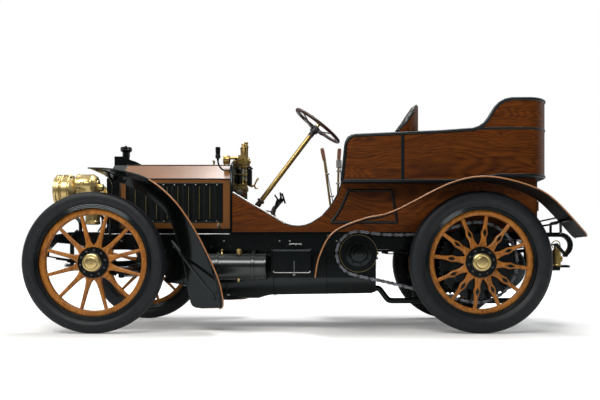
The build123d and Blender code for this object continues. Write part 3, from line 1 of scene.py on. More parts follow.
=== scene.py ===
import bpy
import bmesh
from math import asin, atan2, cos, degrees, hypot, pi, radians, sin, sqrt
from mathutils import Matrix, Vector


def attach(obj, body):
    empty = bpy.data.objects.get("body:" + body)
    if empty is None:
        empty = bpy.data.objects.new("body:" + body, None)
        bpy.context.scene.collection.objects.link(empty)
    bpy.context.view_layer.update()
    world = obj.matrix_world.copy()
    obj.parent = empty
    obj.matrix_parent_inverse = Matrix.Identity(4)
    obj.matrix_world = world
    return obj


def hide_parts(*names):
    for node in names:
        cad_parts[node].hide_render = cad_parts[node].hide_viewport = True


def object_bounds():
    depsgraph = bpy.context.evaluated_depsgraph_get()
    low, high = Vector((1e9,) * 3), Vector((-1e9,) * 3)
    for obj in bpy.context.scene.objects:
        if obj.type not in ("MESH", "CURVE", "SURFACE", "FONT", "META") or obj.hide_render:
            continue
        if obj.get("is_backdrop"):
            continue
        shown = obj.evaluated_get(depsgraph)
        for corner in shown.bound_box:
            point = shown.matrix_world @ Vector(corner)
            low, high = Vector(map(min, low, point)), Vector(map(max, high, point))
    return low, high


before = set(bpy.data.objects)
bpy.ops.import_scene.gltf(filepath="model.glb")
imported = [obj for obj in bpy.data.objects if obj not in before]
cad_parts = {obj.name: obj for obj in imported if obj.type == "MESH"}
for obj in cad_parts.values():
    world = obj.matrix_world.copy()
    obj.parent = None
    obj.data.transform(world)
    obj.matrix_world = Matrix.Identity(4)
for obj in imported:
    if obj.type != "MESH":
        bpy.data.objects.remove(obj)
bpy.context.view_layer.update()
scene = bpy.context.scene

FRONT_AXLE_TO_MIDDLE = 1389.25


def station(x, y, z):
    """Station in millimetres (x from the front axle) to the frame in metres."""
    return Vector(((x - FRONT_AXLE_TO_MIDDLE) / 1000, y / 1000, z / 1000))


def add_object(name, data):
    obj = bpy.data.objects.new(name, data)
    scene.collection.objects.link(obj)
    return obj


# Shader node groups


class Tree:
    """Short ways to add and link nodes."""

    def __init__(self, tree):
        self.tree = tree

    def give(self, socket, value):
        """Links an output to a socket, or sets the socket's own value."""
        if isinstance(value, bpy.types.NodeSocket):
            self.tree.links.new(value, socket)
        elif socket.type == "RGBA":
            socket.default_value = (*value[:3], 1)
        else:
            socket.default_value = value

    def node(self, kind, inputs=None, **props):
        n = self.tree.nodes.new(kind)
        for key, value in props.items():
            setattr(n, key, value)
        for key, value in (inputs or {}).items():
            self.give(n.inputs[key], value)
        return n

    def ramp(self, fac, stops):
        n = self.node("ShaderNodeValToRGB", {"Fac": fac})
        ramp = n.color_ramp
        while len(ramp.elements) < len(stops):
            ramp.elements.new(0.5)
        for e, (at, value) in zip(ramp.elements, stops):
            e.position = at
            e.color = (value, value, value, 1)
        return n.outputs["Color"]

    def rise(self, fac, low, high):
        return self.ramp(fac, [(low, 0.0), (high, 1.0)])

    def mix(self, fac, a, b):
        return self.node("ShaderNodeMix", {0: fac, 6: a, 7: b}, data_type="RGBA").outputs[2]

    def math(self, op, a, b=0.5, clamp=False):
        return self.node("ShaderNodeMath", {0: a, 1: b}, operation=op, use_clamp=clamp).outputs[0]

    def times(self, a, b):
        return self.math("MULTIPLY", a, b)

    def plus(self, a, b, clamp=False):
        return self.math("ADD", a, b, clamp)

    def scaled(self, vector, by):
        return self.node("ShaderNodeVectorMath", {0: vector, 1: by}, operation="MULTIPLY").outputs[0]

    def noise(self, at, scale, detail, rough=0.5, warp=0.0):
        inputs = {"Vector": at, "Scale": scale, "Detail": detail, "Roughness": rough, "Distortion": warp}
        return self.node("ShaderNodeTexNoise", inputs).outputs["Fac"]

    def cells(self, at, scale, scatter=1.0):
        inputs = {"Vector": at, "Scale": scale, "Randomness": scatter}
        return self.node("ShaderNodeTexVoronoi", inputs, feature="DISTANCE_TO_EDGE").outputs["Distance"]

    def bump(self, height, strength, depth, **more):
        inputs = {"Height": height, "Strength": strength, "Distance": depth, **more}
        return self.node("ShaderNodeBump", inputs).outputs["Normal"]

    def use(self, tree, **inputs):
        return self.node("ShaderNodeGroup", inputs, node_tree=tree).outputs


SOCKETS = {"Vector": "Vector", "Normal": "Vector", "Color": "Color", "Light": "Color", "Dark": "Color"}


def group(name, ins, outs, fill):
    """Node group; an input without a value of its own is always linked."""
    tree = bpy.data.node_groups.new(name, "ShaderNodeTree")
    for label, value in ins.items():
        kind = "Vector" if isinstance(value, tuple) else SOCKETS.get(label, "Float")
        socket = tree.interface.new_socket(name=label, in_out="INPUT", socket_type="NodeSocket" + kind)
        if value is not None:
            socket.default_value = value
    for label in outs:
        kind = SOCKETS.get(label, "Float")
        tree.interface.new_socket(name=label, in_out="OUTPUT", socket_type="NodeSocket" + kind)
    t = Tree(tree)
    made = fill(t, t.node("NodeGroupInput").outputs)
    t.node("NodeGroupOutput", made)
    return tree


def fill_grain(t, i):
    """Flat-sawn figure: contour lines of a slow field drawn out along the board, with fine pores."""
    at = t.scaled(i["Vector"], i["Scale"])
    field = t.noise(t.scaled(at, (0.5, 0.1, 0.1)), 1.0, 1.6, 0.4, 0.35)
    broad = t.noise(at, 1.0, 5.0, 0.62, 0.6)
    fine = t.noise(at, 6.0, 4.0, 0.7)
    phase = t.plus(t.times(field, 250.0), t.times(broad, 6.0))
    rings = t.times(t.plus(t.math("SINE", phase), 1.0), 0.5)
    body = t.plus(t.times(broad, 0.45), t.times(rings, 0.13))
    both = t.plus(body, t.times(fine, 0.42))
    colour = t.mix(t.ramp(both, [(0.36, 0.0), (0.5, 0.5), (0.64, 1.0)]), i["Dark"], i["Light"])
    pore = t.times(t.math("SUBTRACT", 1.0, t.rise(fine, 0.34, 0.44)), 0.35)
    return {"Color": t.mix(pore, colour, (0.02, 0.006, 0.003)), "Height": both}


def fill_film(t, i):
    """Dust on what faces up, and grime in broad patches."""
    normal = t.node("ShaderNodeNewGeometry").outputs["Normal"]
    up = t.node("ShaderNodeSeparateXYZ", {0: normal}).outputs["Z"]
    patch = t.noise(i["Vector"], 5.0, 6.0, 0.65)
    speck = t.noise(i["Vector"], 90.0, 3.0)
    high = t.times(t.rise(up, 0.2, 0.95), t.ramp(patch, [(0.35, 0.2), (0.7, 1.0)]))
    dust = t.times(high, i["Dust"])
    stain = t.rise(t.plus(patch, t.times(speck, 0.35)), 0.55, 0.85)
    grime = t.times(stain, i["Grime"])
    colour = t.mix(grime, t.mix(dust, i["Color"], (0.36, 0.31, 0.25)), (0.035, 0.028, 0.022))
    rough = t.plus(i["Rough"], t.times(t.plus(dust, grime), 0.45), True)
    return {"Color": colour, "Rough": rough, "Mask": t.plus(dust, grime, True)}


def fill_wear(t, i):
    """Worn edges: where the surface turns sharply, broken up by noise."""
    bevel = t.node("ShaderNodeBevel", {"Radius": 0.004}, samples=4).outputs["Normal"]
    flat = t.node("ShaderNodeNewGeometry").outputs["Normal"]
    same = t.node("ShaderNodeVectorMath", {0: bevel, 1: flat}, operation="DOT_PRODUCT").outputs["Value"]
    broken = t.rise(t.noise(i["Vector"], 60.0, 5.0, 0.7), 0.42, 0.62)
    worn = t.times(t.ramp(same, [(0.72, 1.0), (0.97, 0.0)]), broken)
    return {"Mask": t.times(worn, i["Amount"]), "Normal": bevel}


def fill_skin(t, i):
    """Fine relief: broad waviness and a small-scale texture, as a bumped normal."""
    broad = t.noise(i["Vector"], 9.0, 2.0)
    small = t.noise(i["Vector"], i["Scale"], 4.0, 0.6)
    height = t.plus(t.times(broad, 0.5), t.times(small, 0.5))
    return {"Normal": t.bump(height, i["Strength"], 0.002)}


GRAIN = group("Wood grain", {"Vector": None, "Scale": (3, 40, 40), "Light": None, "Dark": None},
              ("Color", "Height"), fill_grain)
FILM = group("Dust and grime", {"Vector": None, "Color": None, "Rough": 0.3, "Dust": 0.1, "Grime": 0.15},
             ("Color", "Rough", "Mask"), fill_film)
WEAR = group("Edge wear", {"Vector": None, "Amount": 0.6}, ("Mask", "Normal"), fill_wear)
SKIN = group("Fine relief", {"Vector": None, "Scale": 250.0, "Strength": 0.08}, ("Normal",), fill_skin)

# Materials

MATS = {}
INPUTS = {"colour": "Base Color", "rough": "Roughness", "normal": "Normal", "metal": "Metallic",
          "coat": "Coat Weight", "coat_rough": "Coat Roughness", "spec": "Specular IOR Level",
          "sheen": "Sheen Weight", "tint": "Specular Tint"}


def material(name, build):
    m = bpy.data.materials.new(name)
    m.use_nodes = True
    t = Tree(m.node_tree)
    build(t, m.node_tree.nodes["Principled BSDF"], t.node("ShaderNodeTexCoord").outputs["Object"])
    MATS[name] = m
    return m


def feed(t, shader, **values):
    for key, value in values.items():
        t.give(shader.inputs[INPUTS[key]], value)


def coated(t, at, colour, rough, dust, grime):
    """Colour and roughness of a surface under its dust and grime."""
    return t.use(FILM, Vector=at, Color=colour, Rough=rough, Dust=dust, Grime=grime)


def wood(name, light, dark, scale, coat=0.6, rough=0.3, dust=0.05, grime=0.12):
    def build(t, shader, at):
        grain = t.use(GRAIN, Vector=at, Scale=scale, Light=light, Dark=dark)
        film = coated(t, at, grain["Color"], rough, dust, grime)
        wear = t.use(WEAR, Vector=at, Amount=0.35)
        feed(t, shader, rough=film["Rough"], coat=coat, coat_rough=0.06, spec=0.14,
             colour=t.mix(wear["Mask"], film["Color"], tuple(min(1, 1.5 * c) for c in light)),
             normal=t.bump(grain["Height"], 0.12, 0.001, Normal=wear["Normal"]))
    material(name, build)


def paint(name, colour, rough=0.32, coat=0.7, dust=0.05, grime=0.1, worn=(0.25, 0.2, 0.16), wear=0.5,
          tint=(1, 1, 1), haze=0.06):
    def build(t, shader, at):
        tone = t.rise(t.noise(at, 3.0, 3.0), 0.3, 0.7)
        base = t.mix(tone, tuple(c * 0.8 for c in colour), tuple(min(1, c * 1.2) for c in colour))
        film = coated(t, at, base, rough, dust, grime)
        bare = t.use(WEAR, Vector=at, Amount=wear)["Mask"]
        skin = t.use(SKIN, Vector=at, Scale=320.0, Strength=0.05)
        feed(t, shader, colour=t.mix(bare, film["Color"], worn), rough=film["Rough"], normal=skin["Normal"],
             coat=coat, coat_rough=haze, spec=0.28, tint=tint)
    material(name, build)


def black(name, rough, coat, haze=0.06, dust=0.02, grime=0.03, wear=0.25, colour=(0.0022, 0.003, 0.0032)):
    paint(name, colour, rough, coat, dust, grime, (0.03, 0.03, 0.03), wear, (0.82, 0.96, 1.0), haze)


def metal(name, colour, tarnish, rough=0.25, amount=0.5, strength=0.06, grime=0.15):
    def build(t, shader, at):
        patch = t.rise(t.noise(at, 22.0, 6.0, 0.62), 0.42, 0.72)
        mask = t.times(patch, amount)
        film = coated(t, at, t.mix(mask, colour, tarnish), rough, 0.04, grime)
        skin = t.use(SKIN, Vector=at, Scale=500.0, Strength=strength)
        feed(t, shader, colour=film["Color"], normal=skin["Normal"],
             rough=t.plus(film["Rough"], t.times(mask, 0.2), True),
             metal=t.math("SUBTRACT", 1.0, t.times(film["Mask"], 0.7)))
    material(name, build)


wood("mahogany", (0.135, 0.035, 0.0032), (0.04, 0.0095, 0.001), (2.2, 30.0, 34.0), 0.14, 0.36, grime=0.03)
wood("wheel_wood", (0.42, 0.16, 0.026), (0.19, 0.063, 0.01), (9.0, 26.0, 9.0), 0.25, 0.36, grime=0.1)
wood("floor_wood", (0.17, 0.085, 0.04), (0.1, 0.048, 0.022), (3.0, 34.0, 30.0), 0.1, 0.55, dust=0.2)
wood("mahogany_rim", (0.05, 0.014, 0.008), (0.018, 0.005, 0.003), (20.0, 20.0, 20.0), 0.4)
wood("lever_wood", (0.42, 0.2, 0.14), (0.22, 0.09, 0.06), (30.0, 30.0, 6.0), 0.4, 0.4)
black("black_paint", 0.16, 0.1)
black("gloss_black", 0.3, 0.9, 0.24, 0.01, 0.02, 0.2)
black("piping_black", 0.34, 0.25, 0.2, 0.01, 0.02, 0.2)
black("wing_black", 0.5, 0.06, 0.3)
black("dark_panel", 0.26, 0.05, colour=(0.003, 0.0042, 0.004))
# Matt black under the tub's ledge: the underside's own black paint, and also painted shade under the overhang
paint("underside_black_and_shade", (0.004, 0.0045, 0.005), 0.85, 0.0, 0.0, 0.0, (0.01, 0.01, 0.01), 0.1)
paint("copper_paint", (0.17, 0.066, 0.015), 0.3, 0.5, 0.02, 0.03, (0.3, 0.16, 0.08), 0.2, haze=0.16)
paint("stripe_brown", (0.3, 0.12, 0.035), 0.22, 1.0, grime=0.03)
paint("stripe_yellow", (0.24, 0.18, 0.045), 0.4, 0.3)
metal("brass", (0.6, 0.46, 0.2), (0.36, 0.25, 0.1), 0.3, 0.22, 0.004, 0.03)
# Darker, more tarnished brass: aged brass, and also painted shade for brass parts that look dark in shadow,
# such as the steering column and the tail lamp
metal("aged_shaded_brass", (0.42, 0.3, 0.105), (0.16, 0.105, 0.04), 0.28, 0.4, 0.004, 0.06)
metal("steel", (0.42, 0.42, 0.42), (0.16, 0.13, 0.11), 0.34)
metal("chain_steel", (0.1, 0.1, 0.105), (0.04, 0.035, 0.03), 0.4, 0.8)
# Brighter, bluish steel for every other pair of chain plates: a painted glint along the chain
metal("glint_steel", (0.28, 0.3, 0.34), (0.08, 0.075, 0.075), 0.3, 0.6)
metal("aluminium", (0.62, 0.62, 0.62), (0.36, 0.36, 0.35), 0.3)
metal("iron", (0.11, 0.11, 0.11), (0.08, 0.05, 0.035), 0.55, 0.6)


def build_rubber(t, shader, at):
    tone = t.rise(t.noise(at, 26.0, 8.0, 0.7), 0.35, 0.75)
    # Near-black rubber in random tones; the blue cast in both tones is a painted sheen
    film = coated(t, at, t.mix(tone, (0.005, 0.006, 0.008), (0.012, 0.0142, 0.018)), 0.5, 0.02, 0.0)
    skin = t.use(SKIN, Vector=at, Scale=700.0, Strength=0.2)
    feed(t, shader, colour=film["Color"], rough=film["Rough"], normal=skin["Normal"], spec=0.28)


def build_leather(t, shader, at):
    crease = t.rise(t.cells(at, 260.0), 0.0, 0.12)
    tone = t.rise(t.noise(at, 8.0, 5.0), 0.3, 0.75)
    film = coated(t, at, t.mix(tone, (0.014, 0.0165, 0.0185), (0.03, 0.0345, 0.038)), 0.42, 0.02, 0.03)
    feed(t, shader, colour=film["Color"], rough=film["Rough"], normal=t.bump(crease, 0.25, 0.0008),
         sheen=0.12, spec=0.5, coat=0.5, coat_rough=0.25)


def build_glass(t, shader, at):
    wave = t.use(SKIN, Vector=at, Scale=60.0, Strength=0.05)
    flutes = t.node("ShaderNodeTexWave", {"Vector": at, "Scale": 14.0, "Distortion": 0.4},
                    wave_type="BANDS", bands_direction="Y").outputs["Fac"]
    tone = t.mix(t.times(flutes, 0.5), (0.62, 0.7, 0.7), (0.86, 0.9, 0.88))
    feed(t, shader, colour=tone, rough=0.06, normal=wave["Normal"])
    shader.inputs["Transmission Weight"].default_value = 0.8


def build_core(t, shader, at):
    # Brass-coloured walls round near-black cells: the dark cells are painted shade down the open tubes of the
    # core
    wall = t.ramp(t.cells(at, 110.0, 0.0), [(0.06, 1.0), (0.14, 0.0)])
    film = coated(t, at, t.mix(wall, (0.006, 0.006, 0.006), (0.3, 0.2, 0.09)), 0.4, 0.0, 0.2)
    feed(t, shader, colour=film["Color"], rough=film["Rough"], normal=t.bump(wall, 0.8, 0.004),
         metal=t.times(wall, 0.8))


material("rubber", build_rubber)
material("leather", build_leather)
material("glass", build_glass)
material("honeycomb", build_core)


def by_member(table):
    return {member: key for key, members in table.items() for member in members}


# Look of each CAD node; the rest is black
FINISH = by_member({
    "copper_paint": ("bonnet",), "dark_panel": ("bonnet_louvres", "exhaust_pipe"), "glass": ("lamp_glass",),
    "mahogany": ("upper_sides", "lower_sides", "rear_door", "front_seat_back", "seat_boxes"),
    "floor_wood": ("floor_boards",), "honeycomb": ("radiator_core",), "brass": ("brass_lamps",),
    # The lubricator, steering column and hand levers take the darker brass, which partly paints shade
    "aged_shaded_brass": ("lubricator", "steering_column", "hand_levers"), "gloss_black": ("side_tank",),
    "chain_steel": ("drive_chains",), "steel": ("steering_wheel",), "iron": ("engine_block",),
    "leather": ("seat_cushions", "seat_squabs"),
})


def finish_of(node):
    if node.endswith("tyre"):
        return "rubber"
    if node.endswith("wood_wheel"):
        return "wheel_wood"
    return FINISH.get(node, "black_paint")


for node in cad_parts:
    obj = bpy.data.objects[node]
    for slot in obj.material_slots:
        slot.material = MATS[finish_of(node)]
    if not obj.material_slots:
        obj.data.materials.append(MATS[finish_of(node)])

# Pieces of mesh


class Shape:
    """Points in station millimetres and faces, gathered into one mesh."""

    def __init__(self):
        self.v, self.f = [], []

    def skin(self, rings, closed=False):
        """Joins rings of equal length; each ring is closed."""
        n, base = len(rings[0]), len(self.v)
        for ring in rings:
            self.v.extend(Vector(p) for p in ring)
        last = len(rings) if closed else len(rings) - 1
        for k in range(last):
            a, b = base + k * n, base + (k + 1) % len(rings) * n
            for i in range(n):
                j = (i + 1) % n
                self.f.append((a + i, a + j, b + j, b + i))
        if not closed:
            self.f.append(tuple(base + i for i in reversed(range(n))))
            self.f.append(tuple(base + (len(rings) - 1) * n + i for i in range(n)))

    def sweep(self, path, section, closed=False, up=None):
        """Sweeps a section of (side, up) points, or one for each path point, along a path."""
        path = [Vector(p) for p in path]
        n = len(path)
        rings, side = [], None
        for i, p in enumerate(path):
            before = path[i - 1] if closed or i else path[0]
            after = path[(i + 1) % n] if closed or i < n - 1 else path[-1]
            along = (after - before).normalized()
            if up is not None:
                side = along.cross(Vector(up)).normalized()
            elif side is None:
                guess = Vector((0, 0, 1)) if abs(along.z) < 0.9 else Vector((1, 0, 0))
                side = along.cross(guess).normalized()
            else:
                side = (side - along * side.dot(along)).normalized()
            high = side.cross(along)
            flat = section[i] if isinstance(section[0], list) else section
            rings.append([p + side * a + high * b for a, b in flat])
        self.skin(rings, closed)

    def tube(self, path, r, sides=8, closed=False):
        sizes = r if isinstance(r, (list, tuple)) else [r] * len(path)
        self.sweep(path, [circle(s, sides) for s in sizes], closed)

    def bent(self, points, steps, r, sides=8):
        """Tube along a smooth line through points."""
        self.tube(curve(points, steps), r, sides)

    def border(self, corners, y, r):
        """Straight tubes from corner to corner on one upright face."""
        for (x0, z0), (x1, z1) in zip(corners, corners[1:]):
            self.tube([(x0, y, z0), ((x0 + x1) / 2, y, (z0 + z1) / 2), (x1, y, z1)], r)

    def lathe(self, origin, axis, profile, sides=24, closed=False):
        """Turns (radius, along) points about an axis."""
        axis = Vector(axis).normalized()
        u = axis.orthogonal().normalized()
        w = axis.cross(u)
        rings = []
        for r, t in profile:
            r = max(r, 0.05)
            mid = Vector(origin) + axis * t
            rings.append([mid + (u * cos(a) + w * sin(a)) * r for a in turns(sides)])
        self.skin(rings, closed)

    def slab(self, low, high, edge=2.0):
        """Box with chamfered edges."""
        x0, y0, z0 = low
        x1, y1, z1 = high
        rings = []
        for z, inset in ((z0, edge), (z0 + edge, 0), (z1 - edge, 0), (z1, edge)):
            a, b, c, d = x0 + inset, x1 - inset, y0 + inset, y1 - inset
            rings.append([(a + edge, c, z), (b - edge, c, z), (b, c + edge, z), (b, d - edge, z),
                          (b - edge, d, z), (a + edge, d, z), (a, d - edge, z), (a, c + edge, z)])
        self.skin(rings)

    def dome(self, at, axis, r, high, sides=10):
        """Low rivet or bolt head."""
        self.lathe(at, axis, [(r, 0), (r, high * 0.35), (r * 0.75, high * 0.8), (r * 0.3, high),
                              (0, high)], sides)

    def nut(self, at, axis, r, high):
        """Six-sided nut with the bolt's end."""
        self.lathe(at, axis, [(r, 0), (r, high * 0.8), (r * 0.85, high), (r * 0.45, high),
                              (r * 0.45, high * 1.5), (0, high * 1.6)], 6)

    def both(self):
        """Adds the mirror image on the car's other side."""
        n = len(self.v)
        self.v.extend(Vector((p.x, -p.y, p.z)) for p in list(self.v))
        self.f.extend(tuple(n + i for i in reversed(face)) for face in list(self.f))
        return self


def turns(n, start=0.0):
    return [start + 2 * pi * i / n for i in range(n)]


def circle(r, sides=8):
    return [(r * cos(a), r * sin(a)) for a in turns(sides)]


def spot(r, turn):
    """Point at a radius and angle on a wheel's face."""
    return Vector((r * cos(turn), 0, r * sin(turn)))


def at_side(line, y, lift=0):
    """Points of a side outline, set at one distance from the middle."""
    return [(x, y, z + lift) for x, z in line]


def curve(points, steps=8):
    """Smooth line through points."""
    pts = [Vector(p) for p in points]
    out = []
    for i in range(len(pts) - 1):
        a, b, c, d = (pts[min(max(i + k, 0), len(pts) - 1)] for k in (-1, 0, 1, 2))
        for s in range(steps):
            t = s / steps
            bend = (2 * a - 5 * b + 4 * c - d) * t ** 2
            out.append(0.5 * (2 * b + (c - a) * t + bend + (3 * b - a - 3 * c + d) * t ** 3))
    return out + [pts[-1]]


def arc(x, z, r, start, end, steps):
    angles = [radians(start + (end - start) * i / steps) for i in range(steps + 1)]
    return [(x + r * cos(a), z + r * sin(a)) for a in angles]


def rounded(half_w, half_t, power=3.2, sides=16):
    """Section between an oval and a box."""
    out = []
    for a in turns(sides):
        c, s = cos(a), sin(a)
        u, w = half_w * abs(c) ** (2 / power), half_t * abs(s) ** (2 / power)
        out.append((u if c >= 0 else -u, w if s >= 0 else -w))
    return out


def piece(name, shape, mat, body="chassis", stands_for=(), sharp=38):
    mesh = bpy.data.meshes.new(name)
    mesh.from_pydata([station(*p) for p in shape.v], [], shape.f)
    mesh.update()
    tidy = bmesh.new()
    tidy.from_mesh(mesh)
    bmesh.ops.recalc_face_normals(tidy, faces=tidy.faces)
    tidy.to_mesh(mesh)
    tidy.free()
    mesh.shade_smooth()
    mesh.set_sharp_from_angle(angle=radians(sharp))
    mesh.materials.append(MATS[mat])
    obj = add_object(name, mesh)
    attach(obj, body)
    if stands_for:
        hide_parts(*stands_for)
    return obj


REARWARD, RIGHT, UP = (1, 0, 0), (0, 1, 0), (0, 0, 1)
FORWARD, LEFT, DOWN = (-1, 0, 0), (0, -1, 0), (0, 0, -1)

# Wheels

HANDS = (("left", -1), ("right", 1))
HALF_TRACK, SPOKES, SPOKE_FOOT = 700.0, 12, 125
# Station and height of the hub, radius and width of the tyre, depth of the felloe
TYRES = {"front": (0.0, 457.5, 457.5, 105.0, 38.0), "rear": (2500.0, 460.0, 460.0, 120.0, 34.0)}
# Turn of the first spoke; radius, half width and half depth along a spoke
SPOKE_ROWS = {"front": (15.0, [(98, 30, 14.5), (112, 25, 14.5), (128, 19.5, 14), (148, 16.5, 13.5),
                               (175, 14.2, 13), (240, 12.3, 12.5), (318, 10.6, 12)]),
              "rear": (82.8, [(98, 30, 14.5), (114, 25, 14.5), (135, 20, 14.5), (158, 17.8, 14.5),
                              (176, 20.5, 14.5), (192, 23.2, 14.5), (210, 17.5, 14), (228, 13.4, 13.5),
                              (265, 12.4, 13), (306, 12, 12.5)])}


def tyre_profile(r, w, rim):
    h = r - rim
    side = [(rim - 3, 0.27 * w), (rim - 1, 0.315 * w), (rim + 0.07 * h, 0.34 * w),
            (rim + 0.14 * h, 0.41 * w), (rim + 0.26 * h, 0.468 * w), (rim + 0.45 * h, 0.498 * w),
            (rim + 0.62 * h, 0.487 * w), (rim + 0.76 * h, 0.46 * w), (rim + 0.86 * h, 0.415 * w),
            (rim + 0.94 * h, 0.345 * w), (r - 1.6, 0.285 * w), (r - 0.6, 0.24 * w), (r - 3.2, 0.228 * w),
            (r - 3.2, 0.204 * w), (r - 0.2, 0.192 * w), (r, 0.12 * w), (r - 3.2, 0.108 * w),
            (r - 3.2, 0.084 * w), (r, 0.072 * w), (r, 0.01 * w)]
    return side + [(a, -b) for a, b in reversed(side)]


for axle, (wx, wz, tyre_r, tyre_w, felloe) in TYRES.items():
    rim_in, rim_out = tyre_r - tyre_w - 4, tyre_r - tyre_w + 22
    phase, table = SPOKE_ROWS[axle]
    for hand, sign in HANDS:
        body, node = f"{axle}_{hand}_wheel", f"{axle}_{hand}"
        mid, out = Vector((wx, sign * HALF_TRACK, wz)), Vector((0, sign, 0))
        rubber = Shape()
        rubber.lathe(mid, out, tyre_profile(tyre_r, tyre_w, rim_out), 112, True)
        piece(f"{node}_ribbed_tyre", rubber, "rubber", body, stands_for=(f"{node}_tyre",))
        timber = Shape()
        a, b, t = rim_in - felloe, rim_in - 0.5, 20.0
        timber.lathe(mid, out, [(a, -t + 7), (a + 2, -t + 3), (a + 7, -t), (b - 4, -t), (b, -t + 3),
                                (b, t - 3), (b - 4, t), (a + 7, t), (a + 2, t - 3), (a, t - 7)], 120, True)
        for k in range(SPOKES):
            turn = radians(phase + 360 / SPOKES * k)
            ray, across = spot(1, turn), Vector((-sin(turn), 0, cos(turn)))
            rings = []
            for r, half_w, half_t in table:
                power = 6.0 if r < SPOKE_FOOT else 2.7
                rings.append([mid + ray * r + across * u + out * s
                              for u, s in rounded(half_w, half_t, power)])
            timber.skin(rings)
        piece(f"{node}_turned_spokes", timber, "wheel_wood", body,
              stands_for=(f"{node}_wood_wheel",), sharp=50)
        beads, bolts = Shape(), Shape()
        for r, w, y in ((rim_in + 5, 3.2, 33.5), (rim_in + 14, 4.2, 34.5), (rim_out - 2, 3.6, 35.5)):
            for side in (-1, 1):
                beads.tube([mid + out * side * y + spot(r, q) for q in turns(96)], w, closed=True)
        for q in turns(10, 0.2):
            bolts.nut(mid + spot(80, q) + out * 22.5, out, 8.5, 7)
        beads.lathe(mid, out, [(66, 22), (68, 26), (64, 31), (60, 34), (58, 34)], 40)
        piece(f"{node}_rim_beads", beads, "black_paint", body)
        piece(f"{node}_hub_bolts", bolts, "iron", body)
        cap = Shape()
        cap.lathe(mid, out, [(54, 24), (57, 30), (57, 38), (53.5, 41), (53.5, 57), (55.5, 59), (55.5, 63),
                             (50, 67), (43, 67.5), (40, 65.5), (36, 65.5), (33, 67.5), (27, 68.6),
                             (15, 69.4), (0, 69.6)], 48)
        piece(f"{node}_hub_cap", cap, "brass", body)

# Chains: side plates and rollers on the pitch line of the solid chain

PITCH, FRONT_TEETH, REAR_TEETH, SAG, SAG_STEPS = 38.0, 24, 44, 44.0, 40
SHAFT, AXLE = (1714.0, 519.0), (2500.0, 460.0)
CHAIN_Y, PLATE_R, WAIST = 575.0, 10.5, 6.2


def chain_pins():
    """Pins of one chain, spaced evenly round both sprockets, with the top run hanging a little."""
    (fx, fz), (rx, rz) = SHAFT, AXLE
    fr, rr = PITCH / (2 * sin(pi / FRONT_TEETH)), PITCH / (2 * sin(pi / REAR_TEETH))
    reach = hypot(rx - fx, rz - fz)
    along = degrees(atan2(rz - fz, rx - fx))
    wrap = 90 + degrees(asin((rr - fr) / reach))
    dip = degrees(atan2(4 * SAG, reach))
    line = arc(fx, fz, fr, along + wrap - dip, along + 360 - wrap, 90)
    line += arc(rx, rz, rr, along - wrap, along + wrap + dip, 120)
    (x0, z0), (x1, z1) = line[-1], line[0]
    n = SAG_STEPS
    line += [(x0 + (x1 - x0) * i / n, z0 + (z1 - z0) * i / n - 4 * SAG * i / n * (1 - i / n))
             for i in range(1, n)]
    legs = [(a, b, hypot(b[0] - a[0], b[1] - a[1])) for a, b in zip(line, line[1:] + line[:1])]
    total = sum(leg for _, _, leg in legs)
    count = round(total / PITCH / 2) * 2
    step, pins, due, run = total / count, [], 0.0, 0.0
    for a, b, leg in legs:
        while due < run + leg and len(pins) < count:
            t = (due - run) / leg
            pins.append((a[0] + (b[0] - a[0]) * t, a[1] + (b[1] - a[1]) * t))
            due += step
        run += leg
    return pins


# Every other pair of side plates goes to a brighter, bluish steel as a painted glint; the other plates and
# the rollers keep the chain's dark steel
links, glint_plates = Shape(), Shape()
pins = chain_pins()
for i, (x, z) in enumerate(pins):
    nx, nz = pins[(i + 1) % len(pins)]
    lean = atan2(nz - z, nx - x)
    span = hypot(nx - x, nz - z)
    waist = [(cos(radians(a)) * PLATE_R, sin(radians(a)) * PLATE_R) for a in (90, 130, 180, 230, 270)]
    waist.append((span / 2, -WAIST))
    waist += [(span + cos(radians(a)) * PLATE_R, sin(radians(a)) * PLATE_R) for a in (270, 310, 0, 50, 90)]
    waist.append((span / 2, WAIST))
    for side in (-1, 1):
        near, far = (9.2, 11.6) if i % 2 else (6.4, 8.8)
        plate = []
        for depth in (near, far):
            y = -CHAIN_Y + side * depth
            plate.append([(x + u * cos(lean) - s * sin(lean), y, z + u * sin(lean) + s * cos(lean))
                          for u, s in waist])
        (glint_plates if i % 2 else links).skin(plate)
    roller = [(4.4, -13), (4.4, -6.4), (8.6, -6.2), (8.6, 6.2), (4.4, 6.4), (4.4, 13)]
    links.lathe((x, -CHAIN_Y, z), RIGHT, roller, 8)
piece("chain_links", links.both(), "chain_steel", stands_for=("drive_chains",))
piece("chain_glint_plates", glint_plates.both(), "glint_steel")

for hand, sign in HANDS:
    mid, out = Vector((SHAFT[0], sign * CHAIN_Y, SHAFT[1])), Vector((0, sign, 0))
    ring = Shape()
    ring.tube([mid + out * 6.4 + spot(124, q) for q in turns(72)], 1.5, 6, True)
    piece(f"{hand}_sprocket_line", ring, "stripe_yellow", f"{hand}_drive_sprocket")
    boss = Shape()
    boss.lathe(mid, out, [(88, 5), (88, 9), (84, 11), (60, 11), (57, 14), (54, 26), (50, 28), (34, 29),
                          (30, 33), (16, 35), (0, 35)], 36)
    for q in turns(8, 0.2):
        boss.nut(mid + out * 10.5 + spot(73, q), out, 7, 6)
    piece(f"{hand}_sprocket_boss", boss, "dark_panel", f"{hand}_drive_sprocket")

# Wings: sheets with rounded ends, painted edge lines, wires and stays

KNEE_SHARE, VALANCE, WING_T = 0.22, 54.0, 4.0
WING_OUT, WING_IN, WING_STEPS = 856.0, 566.0, 8
# Rear tip: reach past the solid, and how far its corners draw in
TIP_REACH, TIP_OUT, TIP_IN = 38.0, 60.0, 34.0
